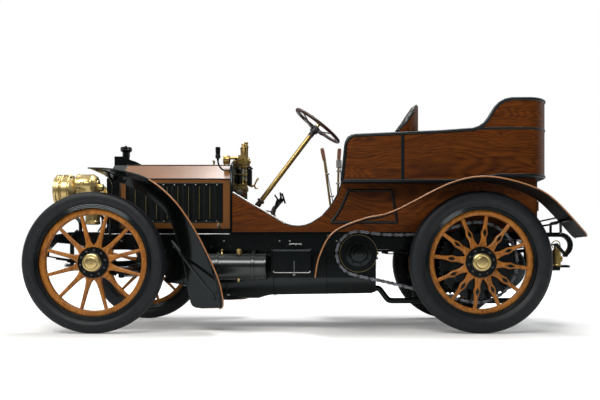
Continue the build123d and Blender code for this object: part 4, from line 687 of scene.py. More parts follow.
# Front foot: first and last step of its rounding, and the share it takes off
FOOT_START, FOOT_STEPS, FOOT_SHARE = 60, 4, 0.32
STRIPE_START = 24
FRONT_EDGE = [(12, 1050), (120, 1047), (236, 1031), (395, 978), (546, 853), (660, 697), (760, 511),
              (835, 333), (868, 164)]
INNER_EDGE = [(32, 1036), (108, 1003), (212, 955), (344, 876), (446, 772), (510, 607), (562, 418),
              (588, 246), (613, 154)]
REAR_EDGE = [(1434, 365), (1461, 501), (1548, 649), (1733, 733), (1927, 782), (2271, 953), (2496, 999),
             (2733, 957), (2918, 866), (3122, 652)]
sheet = Shape()
over = curve(at_side(REAR_EDGE, 0.0), WING_STEPS)
tail_run = (over[-1] - over[-2]).normalized()
straight = len(over)
over += [over[-1] + tail_run * (TIP_REACH * sin(radians(15 * k))) for k in range(1, 7)]
rings, rear_rim, rear_inner = [], [], []
for k, at in enumerate(over):
    run = (over[min(k + 1, len(over) - 1)] - over[max(k - 1, 0)]).normalized()
    under = at + Vector((run.z, 0, -run.x)) * WING_T
    draw_in = 1 - cos(radians(15 * max(0, k - straight + 1)))
    out_y, in_y = -WING_OUT + TIP_OUT * draw_in, -WING_IN - TIP_IN * draw_in
    rings.append([(at.x, out_y, at.z), (at.x, in_y, at.z), (under.x, in_y, under.z),
                  (under.x, out_y, under.z)])
    rear_rim.append((at.x, out_y + 1, at.z - 2))
    rear_inner.append((at.x, in_y - 2, at.z - 3))
sheet.skin(rings)
piece("rear_wing_sheets", sheet.both(), "wing_black", stands_for=("rear_wings",))
wing = Shape()
front_line = curve(at_side(FRONT_EDGE, -WING_OUT + 1, -1), WING_STEPS)
inner_line = curve(at_side(INNER_EDGE, -WING_IN), WING_STEPS)
rings, outer_rim, inner_rim = [], [], []
for k, (out_at, in_at) in enumerate(zip(front_line, inner_line)):
    done = max(0, k - FOOT_START)
    lip = (1 - sqrt(max(0.0, 1 - done ** 2 / FOOT_STEPS ** 2))) * FOOT_SHARE
    knee = out_at.lerp(in_at, KNEE_SHARE)
    knee.y = -WING_IN - VALANCE
    a = Vector((out_at.x, -WING_OUT, out_at.z)).lerp(knee, lip) + (in_at - knee) * lip * 0.4
    b = in_at.lerp(knee, lip)
    turn = Vector((in_at.x - out_at.x, 0, in_at.z - out_at.z)).normalized() * WING_T
    across = Vector((0, -WING_T, 0))
    rings.append([a, knee, b, b + across, knee + turn + across, a + turn])
    outer_rim.append(a)
    inner_rim.append(b)
wing.skin(rings)
piece("front_wing_sheets", wing.both(), "black_paint", stands_for=("front_wings",))
stripe = Shape()
stripe.tube(outer_rim[STRIPE_START:], 4.6)
stripe.tube([a, a.lerp(knee, 0.5), knee, knee.lerp(b, 0.5), b], 3.4)
stripe.tube(rear_rim, 4.6)
piece("wing_edge_lines", stripe.both(), "stripe_brown", sharp=60)
inner = Shape()
inner.tube(outer_rim[:STRIPE_START + 1], 4.6)
inner.tube(inner_rim, 3.4, 6)
inner.tube(rear_inner, 3.4, 6)
for x, z in ((3040, 723), (1522, 628), (96, 1040), (790, 262)):
    inner.slab((x - 16, -800, z - 3), (x + 16, -740, z + 3))
piece("wing_wires", inner.both(), "black_paint", sharp=60)
stays = Shape()
stays.tube([(2770, -455, 702), (2900, -520, 728), (3032, -572, 756)], 5.5)
stays.tube([(2770, -455, 676), (2900, -520, 696), (3040, -566, 719)], 6.5)
stays.tube([(3054, -562, 738), (3070, -530, 706), (3092, -460, 668), (3098, -418, 656)], 9.5)
piece("wing_stays", stays.both(), "black_paint")

# Body: piping, mouldings and panels

BODY_SIDE, PANEL_SIDE, WELL_SIDE = 560.0, 450.0, 440.0
TUB_TOP, TUB_REAR, TUB_CORNER, DOOR_JAMB = 1550, 2990.0, 150.0, 226.0
TOP_LINE = [(1607, 1004), (1630, 1236), (1636, 1262), (1650, 1288), (1672, 1301), (1700, 1306), (2255, 1330),
            (2478, 1346), (2518, 1360), (2554, 1384), (2582, 1418), (2604, 1454), (2628, 1492), (2655, 1520),
            (2692, 1541), (2735, 1550), (2840, 1550)]
LEDGE = [(2387, 1003), (2520, 1021), (2652, 1040), (2840, 1040)]


def round_tail(z, inset):
    """Corner of the tub in plan at one height, from the side to the door."""
    cx, cy, r = TUB_REAR - TUB_CORNER, BODY_SIDE - TUB_CORNER, TUB_CORNER - inset
    bend = [radians(9 * k) for k in range(1, 11)]
    return [(cx + r * sin(q), -cy - r * cos(q), z) for q in bend] + [(TUB_REAR - inset, -DOOR_JAMB, z)]


piping = Shape()
piping.tube(at_side(TOP_LINE, -BODY_SIDE + 5, -1) + round_tail(TUB_TOP - 1, 5), 12.5, 10)
ledge = [(1604, 1003), (1800, 1003)] + LEDGE
piping.sweep(at_side(ledge, -BODY_SIDE) + round_tail(1040, 0), rounded(6, 11, 2.4, 10), up=UP)
waist = [(2500, 1350), (2640, 1353), (2840, 1353)]
piping.sweep(at_side(waist, -BODY_SIDE) + round_tail(1353, 0), rounded(4.5, 8, 2.4, 10), up=UP)
upright = [(2009, 1004), (2009, 1150), (2009, 1318)]
piping.sweep(at_side(upright, -BODY_SIDE), rounded(11.5, 5, 2.4, 10), up=RIGHT)
piping.border([(1650, 950), (1945, 950), (1982, 733), (1531, 733)], -PANEL_SIDE, 9.0)
piping.bent(at_side([(1531, 733), (1578, 793), (1614, 860), (1650, 950)], -PANEL_SIDE), 5, 9.0)
well = [(1215, 722), (1262, 708), (1310, 704), (1356, 710), (1400, 727), (1470, 772), (1532, 842),
        (1576, 920), (1606, 1000)]
piping.tube(at_side(well, -WELL_SIDE, 1), 6.5)
piece("body_piping", piping.both(), "piping_black", sharp=60)
# Black matt sheet under the tub's overhanging ledge: partly the underside's own black, partly painted shade
# where the ledge overhangs the lower body
underside_shade = Shape()
edge = at_side([(1612, 1003), (2000, 1003)] + LEDGE, -BODY_SIDE + 4, -5)
rings = []
for x, y, z in edge + round_tail(1035, 4):
    near = (min(x, 2927.0), max(y, -452.0))
    rings.append([(x, y, z), (*near, z), (*near, z - 3), (x, y, z - 3)])
underside_shade.skin(rings)
piece("ledge_undersides_and_shade", underside_shade.both(), "underside_black_and_shade")
tread = Shape()
slope = [(862, 932), (1040, 826), (1218, 722)]
tread.sweep(at_side(slope, -WELL_SIDE, 5), rounded(13, 5.5, 4, 10), up=(0.5, 0, 0.86))
for x in (2860, 2920):
    tread.slab((x, -446, 668), (x + 8, -430, 672))
piece("toe_strips", tread.both(), "aluminium", sharp=60)
shelf = Shape()
shelf.slab((2904, -428, 1038), (2967, -227, 1058), 1)
piece("tail_shelves", shelf.both(), "mahogany")
beading = Shape()
CHEEK_BEND, CHEEK_R = (1980, 388), 140
cheek = [(1986, 1340), (2017, 1367), (2048, 1398), (2069, 1431), (2087, 1464), (2109, 1511), (2118, 1531)]
rim = [(x - 3, -CHEEK_BEND[1] - sqrt(CHEEK_R ** 2 - (x - CHEEK_BEND[0]) ** 2), z + 2) for x, z in cheek]
across = [(2119, y, 1534) for y in (-360, -180, 0, 180, 360)]
beading.tube(rim + across + [(x, -y, z) for x, y, z in reversed(rim)], 9.0, 10)
piece("seat_back_beading", beading, "piping_black", sharp=60)
door_trim = Shape()
door_trim.tube([(2979, y, 1550) for y in (-216, -110, 0, 110, 216)], 12.0, 10)
for z in (1040, 1353):
    door_trim.sweep([(2990, y, z) for y in (-218, -110, 0, 110, 218)], rounded(5, 9, 2.4, 10), up=UP)
for y in (-214, 214):
    door_trim.sweep([(2990, y, z) for z in (712, 900, 1200, 1540)], rounded(7, 4, 2.4, 10), up=REARWARD)
piece("door_mouldings", door_trim, "black_paint", "rear_door", sharp=60)
handle = Shape()
handle.lathe((2990, 170, 1180), REARWARD, [(24, 0), (24, 4), (18, 7), (11, 8), (10, 30), (0, 31)], 20)
handle.bent([(3026, 182, 1180), (3030, 150, 1180), (3028, 112, 1176)], 6, [11] * 10 + [10, 9, 7], 10)
piece("door_handle", handle, "brass", "rear_door")

# Bonnet, radiator and dash

lines, rivets, catches = Shape(), Shape(), Shape()
LOUVRES, LOUVRE_START, LOUVRE_END = 9, 105.0, 774.0
step = (LOUVRE_END - LOUVRE_START) / LOUVRES
for i in range(LOUVRES):
    x = LOUVRE_START + step * (i + 0.5)
    at = x + step * 0.33
    if i < LOUVRES - 1:
        lines.sweep([(at, -331.2, z) for z in (762, 880, 990)], rounded(1.0, 0.8, 4, 6), up=RIGHT)
    rivets.dome((x, -330, 1001), LEFT, 5.0, 3.5, 8)
    rivets.dome((x, -330, 748), LEFT, 3.6, 2.5, 8)
piece("louvre_lines", lines.both(), "stripe_yellow", sharp=60)
frame_line = Shape()
frame_line.border([(105, 740), (774, 740), (774, 1010), (105, 1010), (105, 740)], -331, 4.0)
frame_line.tube([(x, -329, 1041) for x in (60, 450, 836)], 5.0)
frame_line.tube([(x, -150, 1161) for x in (60, 450, 836)], 4.0)
hoop = [(66, -331, 695), (66, -331, 900), (66, -331, 1038), (66, -240, 1102), (66, -150, 1161)]
frame_line.sweep(hoop, rounded(5, 3, 2.6, 8), up=REARWARD)
piece("bonnet_beads", frame_line.both(), "dark_panel", sharp=60)
for x in (130, 749):
    rivets.lathe((x, -331, 712), LEFT, [(13, 0), (13, 3), (9, 5), (6, 9), (4, 10), (0, 10)], 14)
    catches.bent([(x, -340, 690), (x, -346, 712), (x, -340, 738)], 5, 4.5)
    catches.slab((x - 12, -343, 676), (x + 12, -331, 694))
piece("bonnet_rivets", rivets.both(), "aluminium")
piece("bonnet_catches", catches.both(), "brass")
grip = Shape()
grip.lathe((661, 0, 1160), UP, [(22, 0), (20, 4), (8, 8), (6, 38), (9, 44), (9, 52), (0, 54)], 16)
grip.tube([(661, -40, 1207), (661, -20, 1208), (661, 0, 1209), (661, 20, 1208), (661, 40, 1207)],
          [5, 7, 8, 7, 5], 10)
grip.tube([(60, 0, 1162), (450, 0, 1162), (836, 0, 1162)], 5.0)
piece("bonnet_handle", grip, "brass")

cap = Shape()
knurl = [(41 + (k % 2) * 1.2, 8 + k * 1.6) for k in range(10)]
cap.lathe((11, 0, 1284), UP, [(27, -44), (27, -8), (33, -5), (41, 2), (42, 6), *knurl, (38, 26), (26, 30),
                              (10, 31.5), (0, 32)], 36)
cap.bent([(11, -30, 1306), (11, -24, 1318), (11, 0, 1321), (11, 24, 1318), (11, 30, 1306)], 5, 4.2)
for y in (-210, -105, 105, 210):
    for z in (1012, 716):
        cap.dome((-32, y, z), FORWARD, 6, 4)
piece("radiator_cap", cap, "black_paint")
vanes = Shape()
for k in range(47):
    y = -280 + 560 * k / 46
    vanes.slab((-31, y - 0.9, 739), (-26, y + 0.9, 1015), 0.4)
for k in range(23):
    z = 744 + 266 * k / 22
    vanes.slab((-30, -283, z - 0.8), (-27, 283, z + 0.8), 0.4)
piece("radiator_vanes", vanes, "iron")

DASH_X, DASH_HALF, DASH_TOP, DASH_RISE = 849, 410, 1206, 88
dash_edge = Shape()
crown_r = (DASH_HALF ** 2 + DASH_RISE ** 2) / (2 * DASH_RISE)
half_turn = asin(DASH_HALF / crown_r)
crown = [-half_turn + 2 * half_turn * k / 24 for k in range(25)]
hoop = [(-DASH_HALF, 690), (-DASH_HALF, 900)]
hoop += [(crown_r * sin(q), DASH_TOP - crown_r + crown_r * cos(q)) for q in crown]
hoop += [(DASH_HALF, 900), (DASH_HALF, 690)]
dash_edge.tube([(DASH_X, y, z) for y, z in hoop], 12.0, 10)
piece("dash_beading", dash_edge, "black_paint", sharp=60)

oiler, glasses, pipes = Shape(), Shape(), Shape()
for k in range(5):
    y = -130 + 40 * k
    oiler.lathe((894, y, 1168), DOWN, [(16, 0), (16, 10), (13, 14), (13, 20), (15, 22),
                                       (15, 30), (12, 33)], 16)
    oiler.lathe((894, y, 1016), UP, [(15, 0), (15, 16), (12, 20), (12, 30), (14, 34), (14, 42), (11, 45)], 16)
    oiler.lathe((894, y, 1235), UP, [(13, 0), (13, 6), (6, 9), (6, 18), (11, 20), (11, 28),
                                     (6, 32), (0, 33)], 12)
    glasses.lathe((894, y, 1060), UP, [(12.5, 0), (13, 20), (13, 60), (12.5, 78)], 16)
    pipes.bent([(894, y, 990), (896, y, 968), (884, y + 8, 946), (872, y + 14, 900)], 6, 3.6)
oiler.lathe((922, -45, 1200), REARWARD, [(30, 0), (30, 5), (24, 9), (10, 12), (8, 18), (0, 19)], 20)
oiler.lathe((894, -120, 1288), UP, [(20, -52), (21, -8), (24, -4), (24, 2), (15, 8), (13, 22), (16, 26),
                                    (9, 34), (0, 36)], 18)
oiler.lathe((906, -50, 1320), UP, [(14, -84), (15, -20), (18, -16), (18, -8), (13, -4), (11, 8), (15, 12),
                                   (15, 20), (8, 26), (0, 28)], 16)
oiler.lathe((766, -200, 1192), REARWARD, [(24, -4), (29, -4), (33.5, 0), (33.5, 8), (31.6, 11), (31.6, 29),
                                          (33.5, 32), (33.5, 38), (24, 42), (12, 44), (0, 45)], 28)
oiler.bent([(800, -200, 1205), (850, -200, 1206), (884, -200, 1204), (892, -188, 1202),
            (893, -150, 1200)], 6, 10.5, 10)
oiler.slab((868, -212, 1186), (884, -188, 1220), 3)
oiler.bent([(925, -110, 1030), (950, -112, 1012), (972, -112, 1020), (985, -112, 1046), (1002, -112, 1074)],
           6, [6] * 20 + [7, 8, 8, 7, 5], 8)
oiler.bent([(956, -130, 1014), (972, -112, 1018), (980, -94, 1000), (996, -90, 1004)], 6, 5.5)
for z in (1022, 1094, 1150):
    oiler.slab((860, -158, z - 5), (928, -148, z + 5), 2)
piece("oiler_fittings", oiler, "aged_shaded_brass")
piece("oiler_glasses", glasses, "glass")
piece("oil_pipes", pipes, "copper_paint")
gauge = Shape()
gauge.slab((924, -150, 1016), (952, -60, 1140), 5)
gauge.lathe((938, -105, 1140), UP, [(24, -2), (24, 6), (14, 12), (14, 18), (0, 20)], 16)
gauge.slab((866, -20, 1040), (880, 60, 1150), 3)
piece("dash_box", gauge, "black_paint")

# Lamps

lx, ly, lz = -356.0, -350.0, 949.0
lantern, dark = Shape(), Shape()
lantern.lathe((lx, ly, lz), REARWARD, [(101, 2), (104, -4), (112, -5), (117.5, 0), (118.5, 8), (117.5, 16),
                                       (115.5, 20)], 56, True)
for x in (34, 46, 92):
    lantern.tube([(lx + x, ly + 112.5 * cos(q), lz + 112.5 * sin(q)) for q in turns(56)], 3.2, 6, True)
lantern.lathe((lx, ly, lz), REARWARD, [(79, 128), (72, 134), (62, 138), (60, 150), (0, 151)], 40)
lantern.lathe((lx + 66, ly, lz + 100), UP, [(40, -4), (40, 8), (36, 12), (30, 16), (14, 18), (0, 19)], 28)
lantern.lathe((-221, ly, 993), REARWARD, [(40, -3), (74, -2), (78.5, 2), (78.5, 9), (76.4, 12), (76.4, 97),
                                          (78.5, 100), (78.5, 107), (75, 111), (63, 131), (53, 136),
                                          (38, 137.5), (36, 142), (0, 143)], 56)
lantern.tube([(-208, ly - 76.4, 1003), (-170, ly - 76.6, 1003), (-126, ly - 76.4, 1003)], 3.0)
lantern.lathe((-170, ly - 74, 1003), LEFT, [(14, 0), (14, 5), (10, 8), (0, 9)], 16)
lantern.lathe((-123, ly, 0), UP, [(44, 723), (50, 725), (52, 730), (52, 742), (48.8, 746), (48.8, 798),
                                  (51.5, 801), (51.5, 812), (48.8, 815), (48.8, 905)], 40)
lantern.lathe((-49, ly, 978), REARWARD, [(24.5, -37), (26.5, -28), (26.5, -8), (20, 0), (10, 4), (0, 5)], 20)
piece("lamp_mouldings", lantern.both(), "brass")
mirror = Shape()
mirror.lathe((lx, ly, lz), REARWARD, [(99, 17.5), (92, 19), (74, 23), (50, 26.5), (26, 29), (12, 29.6),
                                      (11, 27), (9, 21), (5, 19.5), (0, 19)], 56)
piece("lamp_reflectors", mirror.both(), "aluminium")
for q in (0.5, 2.7):
    dark.dome((lx + 100, ly - 108 * sin(q), lz + 108 * cos(q)), (0, -sin(q), cos(q)), 8, 9, 10)
dark.bent([(-78, ly, 800), (-58, ly - 8, 776), (-56, ly - 10, 716), (-80, ly - 20, 672)], 6, 5)
dark.slab((-226, -420, 664), (-150, -380, 676), 3)
for x in (-214, -162):
    for y in (-410, -390):
        dark.nut((x, y, 675), UP, 7, 6)
piece("lamp_knobs", dark.both(), "black_paint")
post = Shape()
post.lathe((757, -420, 1178), UP, [(7, -22), (9, -10), (15.3, -4), (18, 2), (18.5, 8), (16.5, 14),
                                   (15.6, 24), (16.8, 52), (17.6, 62), (16.5, 68), (12, 71), (0, 71.5)], 20)
post.lathe((838, -395, 1092), FORWARD, [(17, 0), (17, 4), (9, 7), (7, 10)], 14)
piece("side_lamp_posts", post.both(), "black_paint")
tail = Shape()
tail.lathe((3126, -252, 434), UP, [(28.5, 0), (31, 3), (31, 9), (28.5, 12), (28.5, 96), (31, 99), (31, 106),
                                   (28, 112), (19, 124), (18.6, 140), (23, 143), (23, 150),
                                   (12, 154), (0, 155)], 28)
tail.lathe((3126, -252, 486), REARWARD, [(20, 24), (22, 29), (22, 36), (17, 38)], 20)
tail.bent([(3098, -262, 560), (3086, -266, 590), (3110, -266, 612), (3140, -262, 604),
           (3150, -258, 572)], 6, 3.5)
# Tail lamp in the darker brass: partly tarnish, partly painted shade where it sits half hidden
piece("tail_lamp_mouldings", tail, "aged_shaded_brass")
red = Shape()
red.lathe((3126, -252, 486), REARWARD, [(17.5, 28), (16, 34), (9, 39), (0, 40)], 20)
piece("tail_lens", red, "glass")

# Steering wheel and controls

hub, foot = Vector((1424, 280, 1525)), Vector((754, 280, 640))
tilt = (hub - foot).normalized()
flat_u, flat_v = Vector((0, 1, 0)), tilt.cross(Vector((0, 1, 0)))


def on_wheel(r, q, t):
    """Point at a radius, an angle and a height on the steering wheel."""
    return hub + (flat_u * cos(q) + flat_v * sin(q)) * r + tilt * t


rim = Shape()
rim.tube([on_wheel(200, q, 0) for q in turns(72)], 13.2, 14, True)
piece("steering_rim", rim, "mahogany_rim", "steering_wheel", sharp=60)
spider = Shape()
for k in range(4):
    q = radians(45 + 90 * k)
    arm = [on_wheel(r, q, t) for r, t in ((24, -40), (70, -33), (130, -17), (186, -4))]
    sections = [rounded(w, h, 2.4, 10) for w, h in ((13, 5), (9, 5), (7.5, 4.5), (11, 4))]
    spider.sweep(arm, sections, up=tuple(tilt))
spider.lathe(hub, tilt, [(30.5, -62), (33, -56), (33, -46), (31, -40), (31, -24), (33, -20), (30, -12),
                         (18, -7), (0, -6)], 28)
piece("steering_spider", spider, "chain_steel", "steering_wheel", stands_for=("steering_wheel",))
quadrant = Shape()
quadrant.lathe(hub, tilt, [(12, -8), (12, 14), (34, 16), (34, 20), (12, 22), (9, 34), (0, 36)], 24)
for q, r in ((0.4, 92), (1.3, 84)):
    quadrant.tube([on_wheel(8, q, 18), on_wheel(r * 0.6, q, 22), on_wheel(r, q, 30)], 3.6)
    quadrant.lathe(on_wheel(r, q, 30), tilt, [(4, 0), (8, 4), (9, 10), (6, 16), (0, 18)], 12)
piece("spark_levers", quadrant, "brass", "steering_wheel")
sleeve = Shape()
for s, r, h in ((340, 23, 30), (376, 29, 14), (1030, 22, 26)):
    sleeve.lathe(foot + tilt * s, tilt, [(19.2, -h / 2 - 6), (r, -h / 2), (r, h / 2), (19.2, h / 2 + 6)], 24)
piece("column_collars", sleeve, "iron")
links = Shape()
for y in (200, 262, 330):
    links.tube([(1094, y, 784), (1083, y, 817), (1075, y, 846), (1092, y, 892)], [13, 14, 14, 10], 10)
links.tube([(1004, 200, 861), (1038, 200, 857), (1072, 200, 850)], 5.5)
links.tube([(1078, 190, 842), (1078, 265, 842), (1078, 340, 842)], 8.0)
piece("pedal_links", links, "iron")
levers = Shape()
for a, b, y in (((1472, 1290), (1453, 1388), 520), ((1588, 1285), (1595, 1380), 486)):
    pts = [(a[0] + (b[0] - a[0]) * t, y, a[1] + (b[1] - a[1]) * t) for t in (0.0, 0.12, 0.4, 0.75, 0.95, 1.0)]
    levers.tube(pts, [10, 14.5, 15.5, 16.5, 14, 8], 12)
piece("lever_grips", levers, "lever_wood")
latch = Shape()
latch.tube([(1544, 531, 940), (1500, 531, 1170), (1480, 531, 1300)], 4.0)
latch.tube([(1606, 496, 990), (1606, 497, 1150), (1604, 496, 1290)], 4.0)
latch.bent([(1480, 531, 1300), (1466, 533, 1320), (1452, 533, 1372)], 4, 4.0)
for x, z, y in ((1534, 1000, 520), (1580, 1100, 486), (1494, 1180, 520), (1584, 1200, 486)):
    latch.slab((x - 14, y - 12, z - 7), (x + 18, y + 16, z + 7), 3)
latch.slab((1568, 474, 1225), (1612, 502, 1292), 5)
piece("lever_latches", latch, "steel")

# Frame, tank and tool box

RAIL_SIDE, RIVET_PITCH = 425, 130
bolts = Shape()
for x in [-240, -150, -60] + list(range(40, 2300, RIVET_PITCH)):
    bolts.dome((x, -RAIL_SIDE, 648), LEFT, 7.5, 5, 8)
    if x > 20 and not 1650 < x < 1780:
        bolts.dome((x + 20, -RAIL_SIDE, 566), LEFT, 7.5, 5, 8)
for x in (1010, 1150, 1290, 1420):
    bolts.nut((x, -RAIL_SIDE, 612), LEFT, 9, 8)
piece("rail_rivets", bolts.both(), "dark_panel")
bright = Shape()
for x in (98, 330, 560, 800, 1180, 1250, 1500, 1570):
    bright.nut((x, -RAIL_SIDE, 606), LEFT, 7, 6)
for x in (1252, 1289, 1326):
    bright.lathe((x, -RAIL_SIDE, 584), LEFT, [(5, 0), (5, 14), (7, 16), (7, 22), (0, 23)], 10)
bright.tube([(1248, -443, 584), (1289, -444, 586), (1330, -443, 584)], 3.0)
piece("rail_nuts", bright.both(), "steel")
# Thin steel strip along the top outer edge of each rail: a painted highlight on the rail's edge
rail_highlight = Shape()
rail_highlight.tube([(x, -RAIL_SIDE - 3, 654) for x in (-20, 400, 838)], 2.8)
piece("rail_highlight_strips", rail_highlight.both(), "steel")
clips = Shape()
for cx, seat, low in ((0, 465, 378), (2500, 529, 431)):
    for x in (cx - 42, cx + 42):
        for y in (-427, -373):
            clips.tube([(x, y, low), (x, y, seat - 20), (x, y, seat + 6)], 6)
            clips.nut((x, y, low), DOWN, 9, 8)
        crown = ((-427, 2), (-420, 10), (-400, 12), (-380, 10), (-373, 2))
        clips.bent([(x, y, seat + rise) for y, rise in crown], 4, 6)
piece("spring_clips", clips.both(), "black_paint")
tank = Shape()
TANK_Y, TANK_Z = -437, 430
for x, s in ((650, -1), (1092, 1)):
    tank.lathe((x, TANK_Y, TANK_Z), (s, 0, 0), [(91.5, -10), (93, -6), (93, 0), (88, 3), (84, 1), (60, 8),
                                                (30, 12), (0, 13)], 48)
piece("tank_ends", tank, "gloss_black")
for x in (763, 1004):
    band = Shape()
    band.lathe((x, TANK_Y, TANK_Z), REARWARD, [(93.2, -12), (97, -9), (97, 9), (93.2, 12)], 56)
    band.nut((x, -470, 520), UP, 8, 8)
    piece(f"tank_band_{x}", band, "gloss_black")
taps = Shape()
taps.lathe((909.5, -477, 528), UP, [(17, 0), (22, 3), (22, 10), (17, 13), (17, 18), (13, 22), (0, 23)], 6)
taps.lathe((909.5, -477, 520), UP, [(18, -8), (18, 4), (16.5, 9)], 20)
taps.lathe((790, -455, 510), UP, [(9, -4), (9, 12), (6, 16), (6, 26), (10, 28), (10, 36),
                                  (4, 40), (0, 41)], 12)
taps.lathe((905, -470, 346), DOWN, [(10, -8), (10, 4), (7, 8), (7, 18), (0, 19)], 12)
piece("tank_taps", taps, "brass")
chest = Shape()
bar = [(1146, -543, 402), (1150, -545, 394), (1158, -546, 391), (1270, -546, 391), (1382, -546, 391),
       (1390, -545, 394), (1394, -543, 402)]
chest.tube(bar, 3.0)
chest.tube([(1286, -545, 391), (1286, -546, 430), (1286, -544, 470)], 2.8)
chest.lathe((1286, -546, 386), DOWN, [(6, 0), (11, 3), (11, 10), (6, 14), (0, 15)], 10)
piece("tool_box_bar", chest, "steel")
seams = Shape()
seams.border([(1142, 392), (1394, 392), (1394, 536), (1142, 536), (1142, 392)], -540, 4)
seams.tube([(1136, -500, 546), (1270, -541, 540), (1400, -500, 546)], 4)
BILGE_Y, BILGE_Z, BILGE_R = 168, 354, 150
for x, low in ((500, 302), (800, 235), (1130, 232), (1500, 238)):
    last, r = asin((BILGE_Z - low) / BILGE_R), BILGE_R + 1
    turn = [(x, -BILGE_Y - r * cos(last * k / 6), BILGE_Z - r * sin(last * k / 6)) for k in range(7)]
    seams.sweep([(x, -319, 540), (x, -319, 450), *turn, (x, -120, low - 1), (x, 0, low - 1)],
                rounded(9, 2, 4, 8), up=REARWARD)
piece("tray_straps", seams, "black_paint", sharp=60)
fuel = Shape()
for side in (-1, 1):
    fuel.lathe((2740, 0, 425), (0, side, 0), [(156, 286), (158, 292), (158, 298), (150, 306), (112, 324),
                                              (70, 330), (0, 333)], 56)
    fuel.lathe((2740, side * 240, 425), RIGHT, [(158.4, -15), (160, -12), (160, 12), (158.4, 15)], 64)
    fuel.nut((2740, side * 240, 266), DOWN, 11, 10)
piece("fuel_tank_bands", fuel, "black_paint")
step_trim = Shape()
for x in range(3112, 3233, 11):
    step_trim.slab((x - 2, -190, 439), (x + 2, 190, 443), 1)
piece("step_ribs", step_trim, "aluminium")
crank = Shape()
crank.bent([(-432, 0, 440), (-440, 0, 440), (-444, 0, 440)], 3, [13, 13, 14, 14, 13, 12, 10], 12)
crank.lathe((-300, 0, 600), FORWARD, [(14.3, 0), (24, 3), (24, 16), (14.3, 20)], 18)
piece("crank_collar", crank, "steel")

# Seats: each pad is blown up as cloth, held at its base and along its sewn channels

CHANNEL, PUFF, TAKE_IN = 0.128, 0.013, 0.008
SEAM_HALF, SEAM_DEPTH, HELD_BASE, SKIN_CELL, BLOW_FRAMES = 0.0085, 0.006, 0.012, 0.014, 16
# Middle of the sitters in each row: the front bench faces all along, the tub faces one point
FRONT_SITTER_X, TUB_SITTER_X, ROW_SPLIT_X = 0.41, 1.2, 0.8


def place(vertex):
    return tuple(round(c, 5) for c in vertex.co)


def islands(obj):
    """The separate pads of one node, as lists of points and faces in the frame's metres."""
    mesh, to_frame = obj.data, obj.matrix_world
    owner = list(range(len(mesh.vertices)))

    def root(i):
        while owner[i] != i:
            owner[i] = owner[owner[i]]
            i = owner[i]
        return i

    at = {}
    for v in mesh.vertices:
        owner[v.index] = at.setdefault(place(v), v.index)
    for edge in mesh.edges:
        a, b = (root(i) for i in edge.vertices)
        owner[a] = b
    sets = {}
    for face in mesh.polygons:
        sets.setdefault(root(face.vertices[0]), []).append([place(mesh.vertices[i]) for i in face.vertices])
    out = []
    for faces in sets.values():
        index, points = {}, []
        for face in faces:
            for key in face:
                if key not in index:
                    index[key] = len(points)
                    points.append(to_frame @ Vector(key))
        out.append((points, [[index[key] for key in face] for face in faces if len(set(face)) > 2]))
    return out


def baked(obj):
    """Mesh of an object with its modifiers applied."""
    seen = obj.evaluated_get(bpy.context.evaluated_depsgraph_get())
    return bpy.data.meshes.new_from_object(seen)


def upholster(name, points, faces, upright):
    """One pad: a fine skin over the solid, drawn in, then blown up between its seams."""
    mesh = bpy.data.meshes.new(name)
    mesh.from_pydata(points, [], faces)
    pad = add_object(name, mesh)
    skin = pad.modifiers.new("skin", "REMESH")
    skin.mode, skin.voxel_size = "VOXEL", SKIN_CELL
    rough = baked(pad)
    pad.modifiers.clear()
    pad.data = rough
    low = min(v.co.z for v in rough.vertices)
    held, start = [], []
    for v in rough.vertices:
        n, p = v.normal.copy(), v.co.copy()
        across = (p.y / CHANNEL + 0.5) % 1.0 - 0.5
        along = (p.x / CHANNEL + 0.5) % 1.0 - 0.5
        from_seam = abs(along if upright and abs(n.y) > 0.75 else across) * CHANNEL
        sewn_face = abs(n.z) < 0.8 if upright else n.z > 0.4
        seam = from_seam < SEAM_HALF and sewn_face
        front_row = p.x < ROW_SPLIT_X
        sitter = Vector((FRONT_SITTER_X, p.y) if front_row else (TUB_SITTER_X, 0.0))
        behind = upright and n.xy.dot((p.xy - sitter).normalized()) > 0.35
        base = p.z < low + HELD_BASE or behind
        start.append(p - n * (0.0 if base else TAKE_IN + (SEAM_DEPTH if seam else 0.0)))
        if seam or base:
            held.append(v.index)
    for v, p in zip(rough.vertices, start):
        v.co = p
    rough.update()
    pins = pad.vertex_groups.new(name="held")
    pins.add(held, 1.0, "REPLACE")
    cloth = pad.modifiers.new("cloth", "CLOTH")
    cloth.settings.quality = 4
    cloth.settings.mass = 0.3
    cloth.settings.tension_stiffness = cloth.settings.compression_stiffness = 12
    cloth.settings.use_pressure = True
    cloth.settings.uniform_pressure_force = 4.0
    cloth.settings.vertex_group_mass = "held"
    cloth.settings.effector_weights.gravity = 0.0
    cloth.collision_settings.use_collision = False
    cloth.point_cache.frame_start, cloth.point_cache.frame_end = 1, BLOW_FRAMES
    for tick in range(1, BLOW_FRAMES + 1):
        scene.frame_set(tick)
    blown = baked(pad)
    pad.modifiers.clear()
    scene.frame_set(1)
    for v, p in zip(blown.vertices, start):
        move = v.co - p
        if move.length > PUFF:
            v.co = p + move * (PUFF / move.length)
    pad.data = blown
    smooth = pad.modifiers.new("smooth", "SUBSURF")
    smooth.levels = smooth.render_levels = 1
    done = baked(pad)
    pad.modifiers.clear()
    pad.data = done
    done.shade_smooth()
    done.materials.clear()
    done.materials.append(MATS["leather"])
    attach(pad, "chassis")
    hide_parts("seat_squabs" if upright else "seat_cushions")
    return pad


for node, upright in (("seat_cushions", False), ("seat_squabs", True)):
    source = bpy.data.objects[node]
    for k, (points, faces) in enumerate(islands(source)):
        upholster(f"{node[:-1]}_{k + 1}", points, faces, upright)


# Stage, light and camera

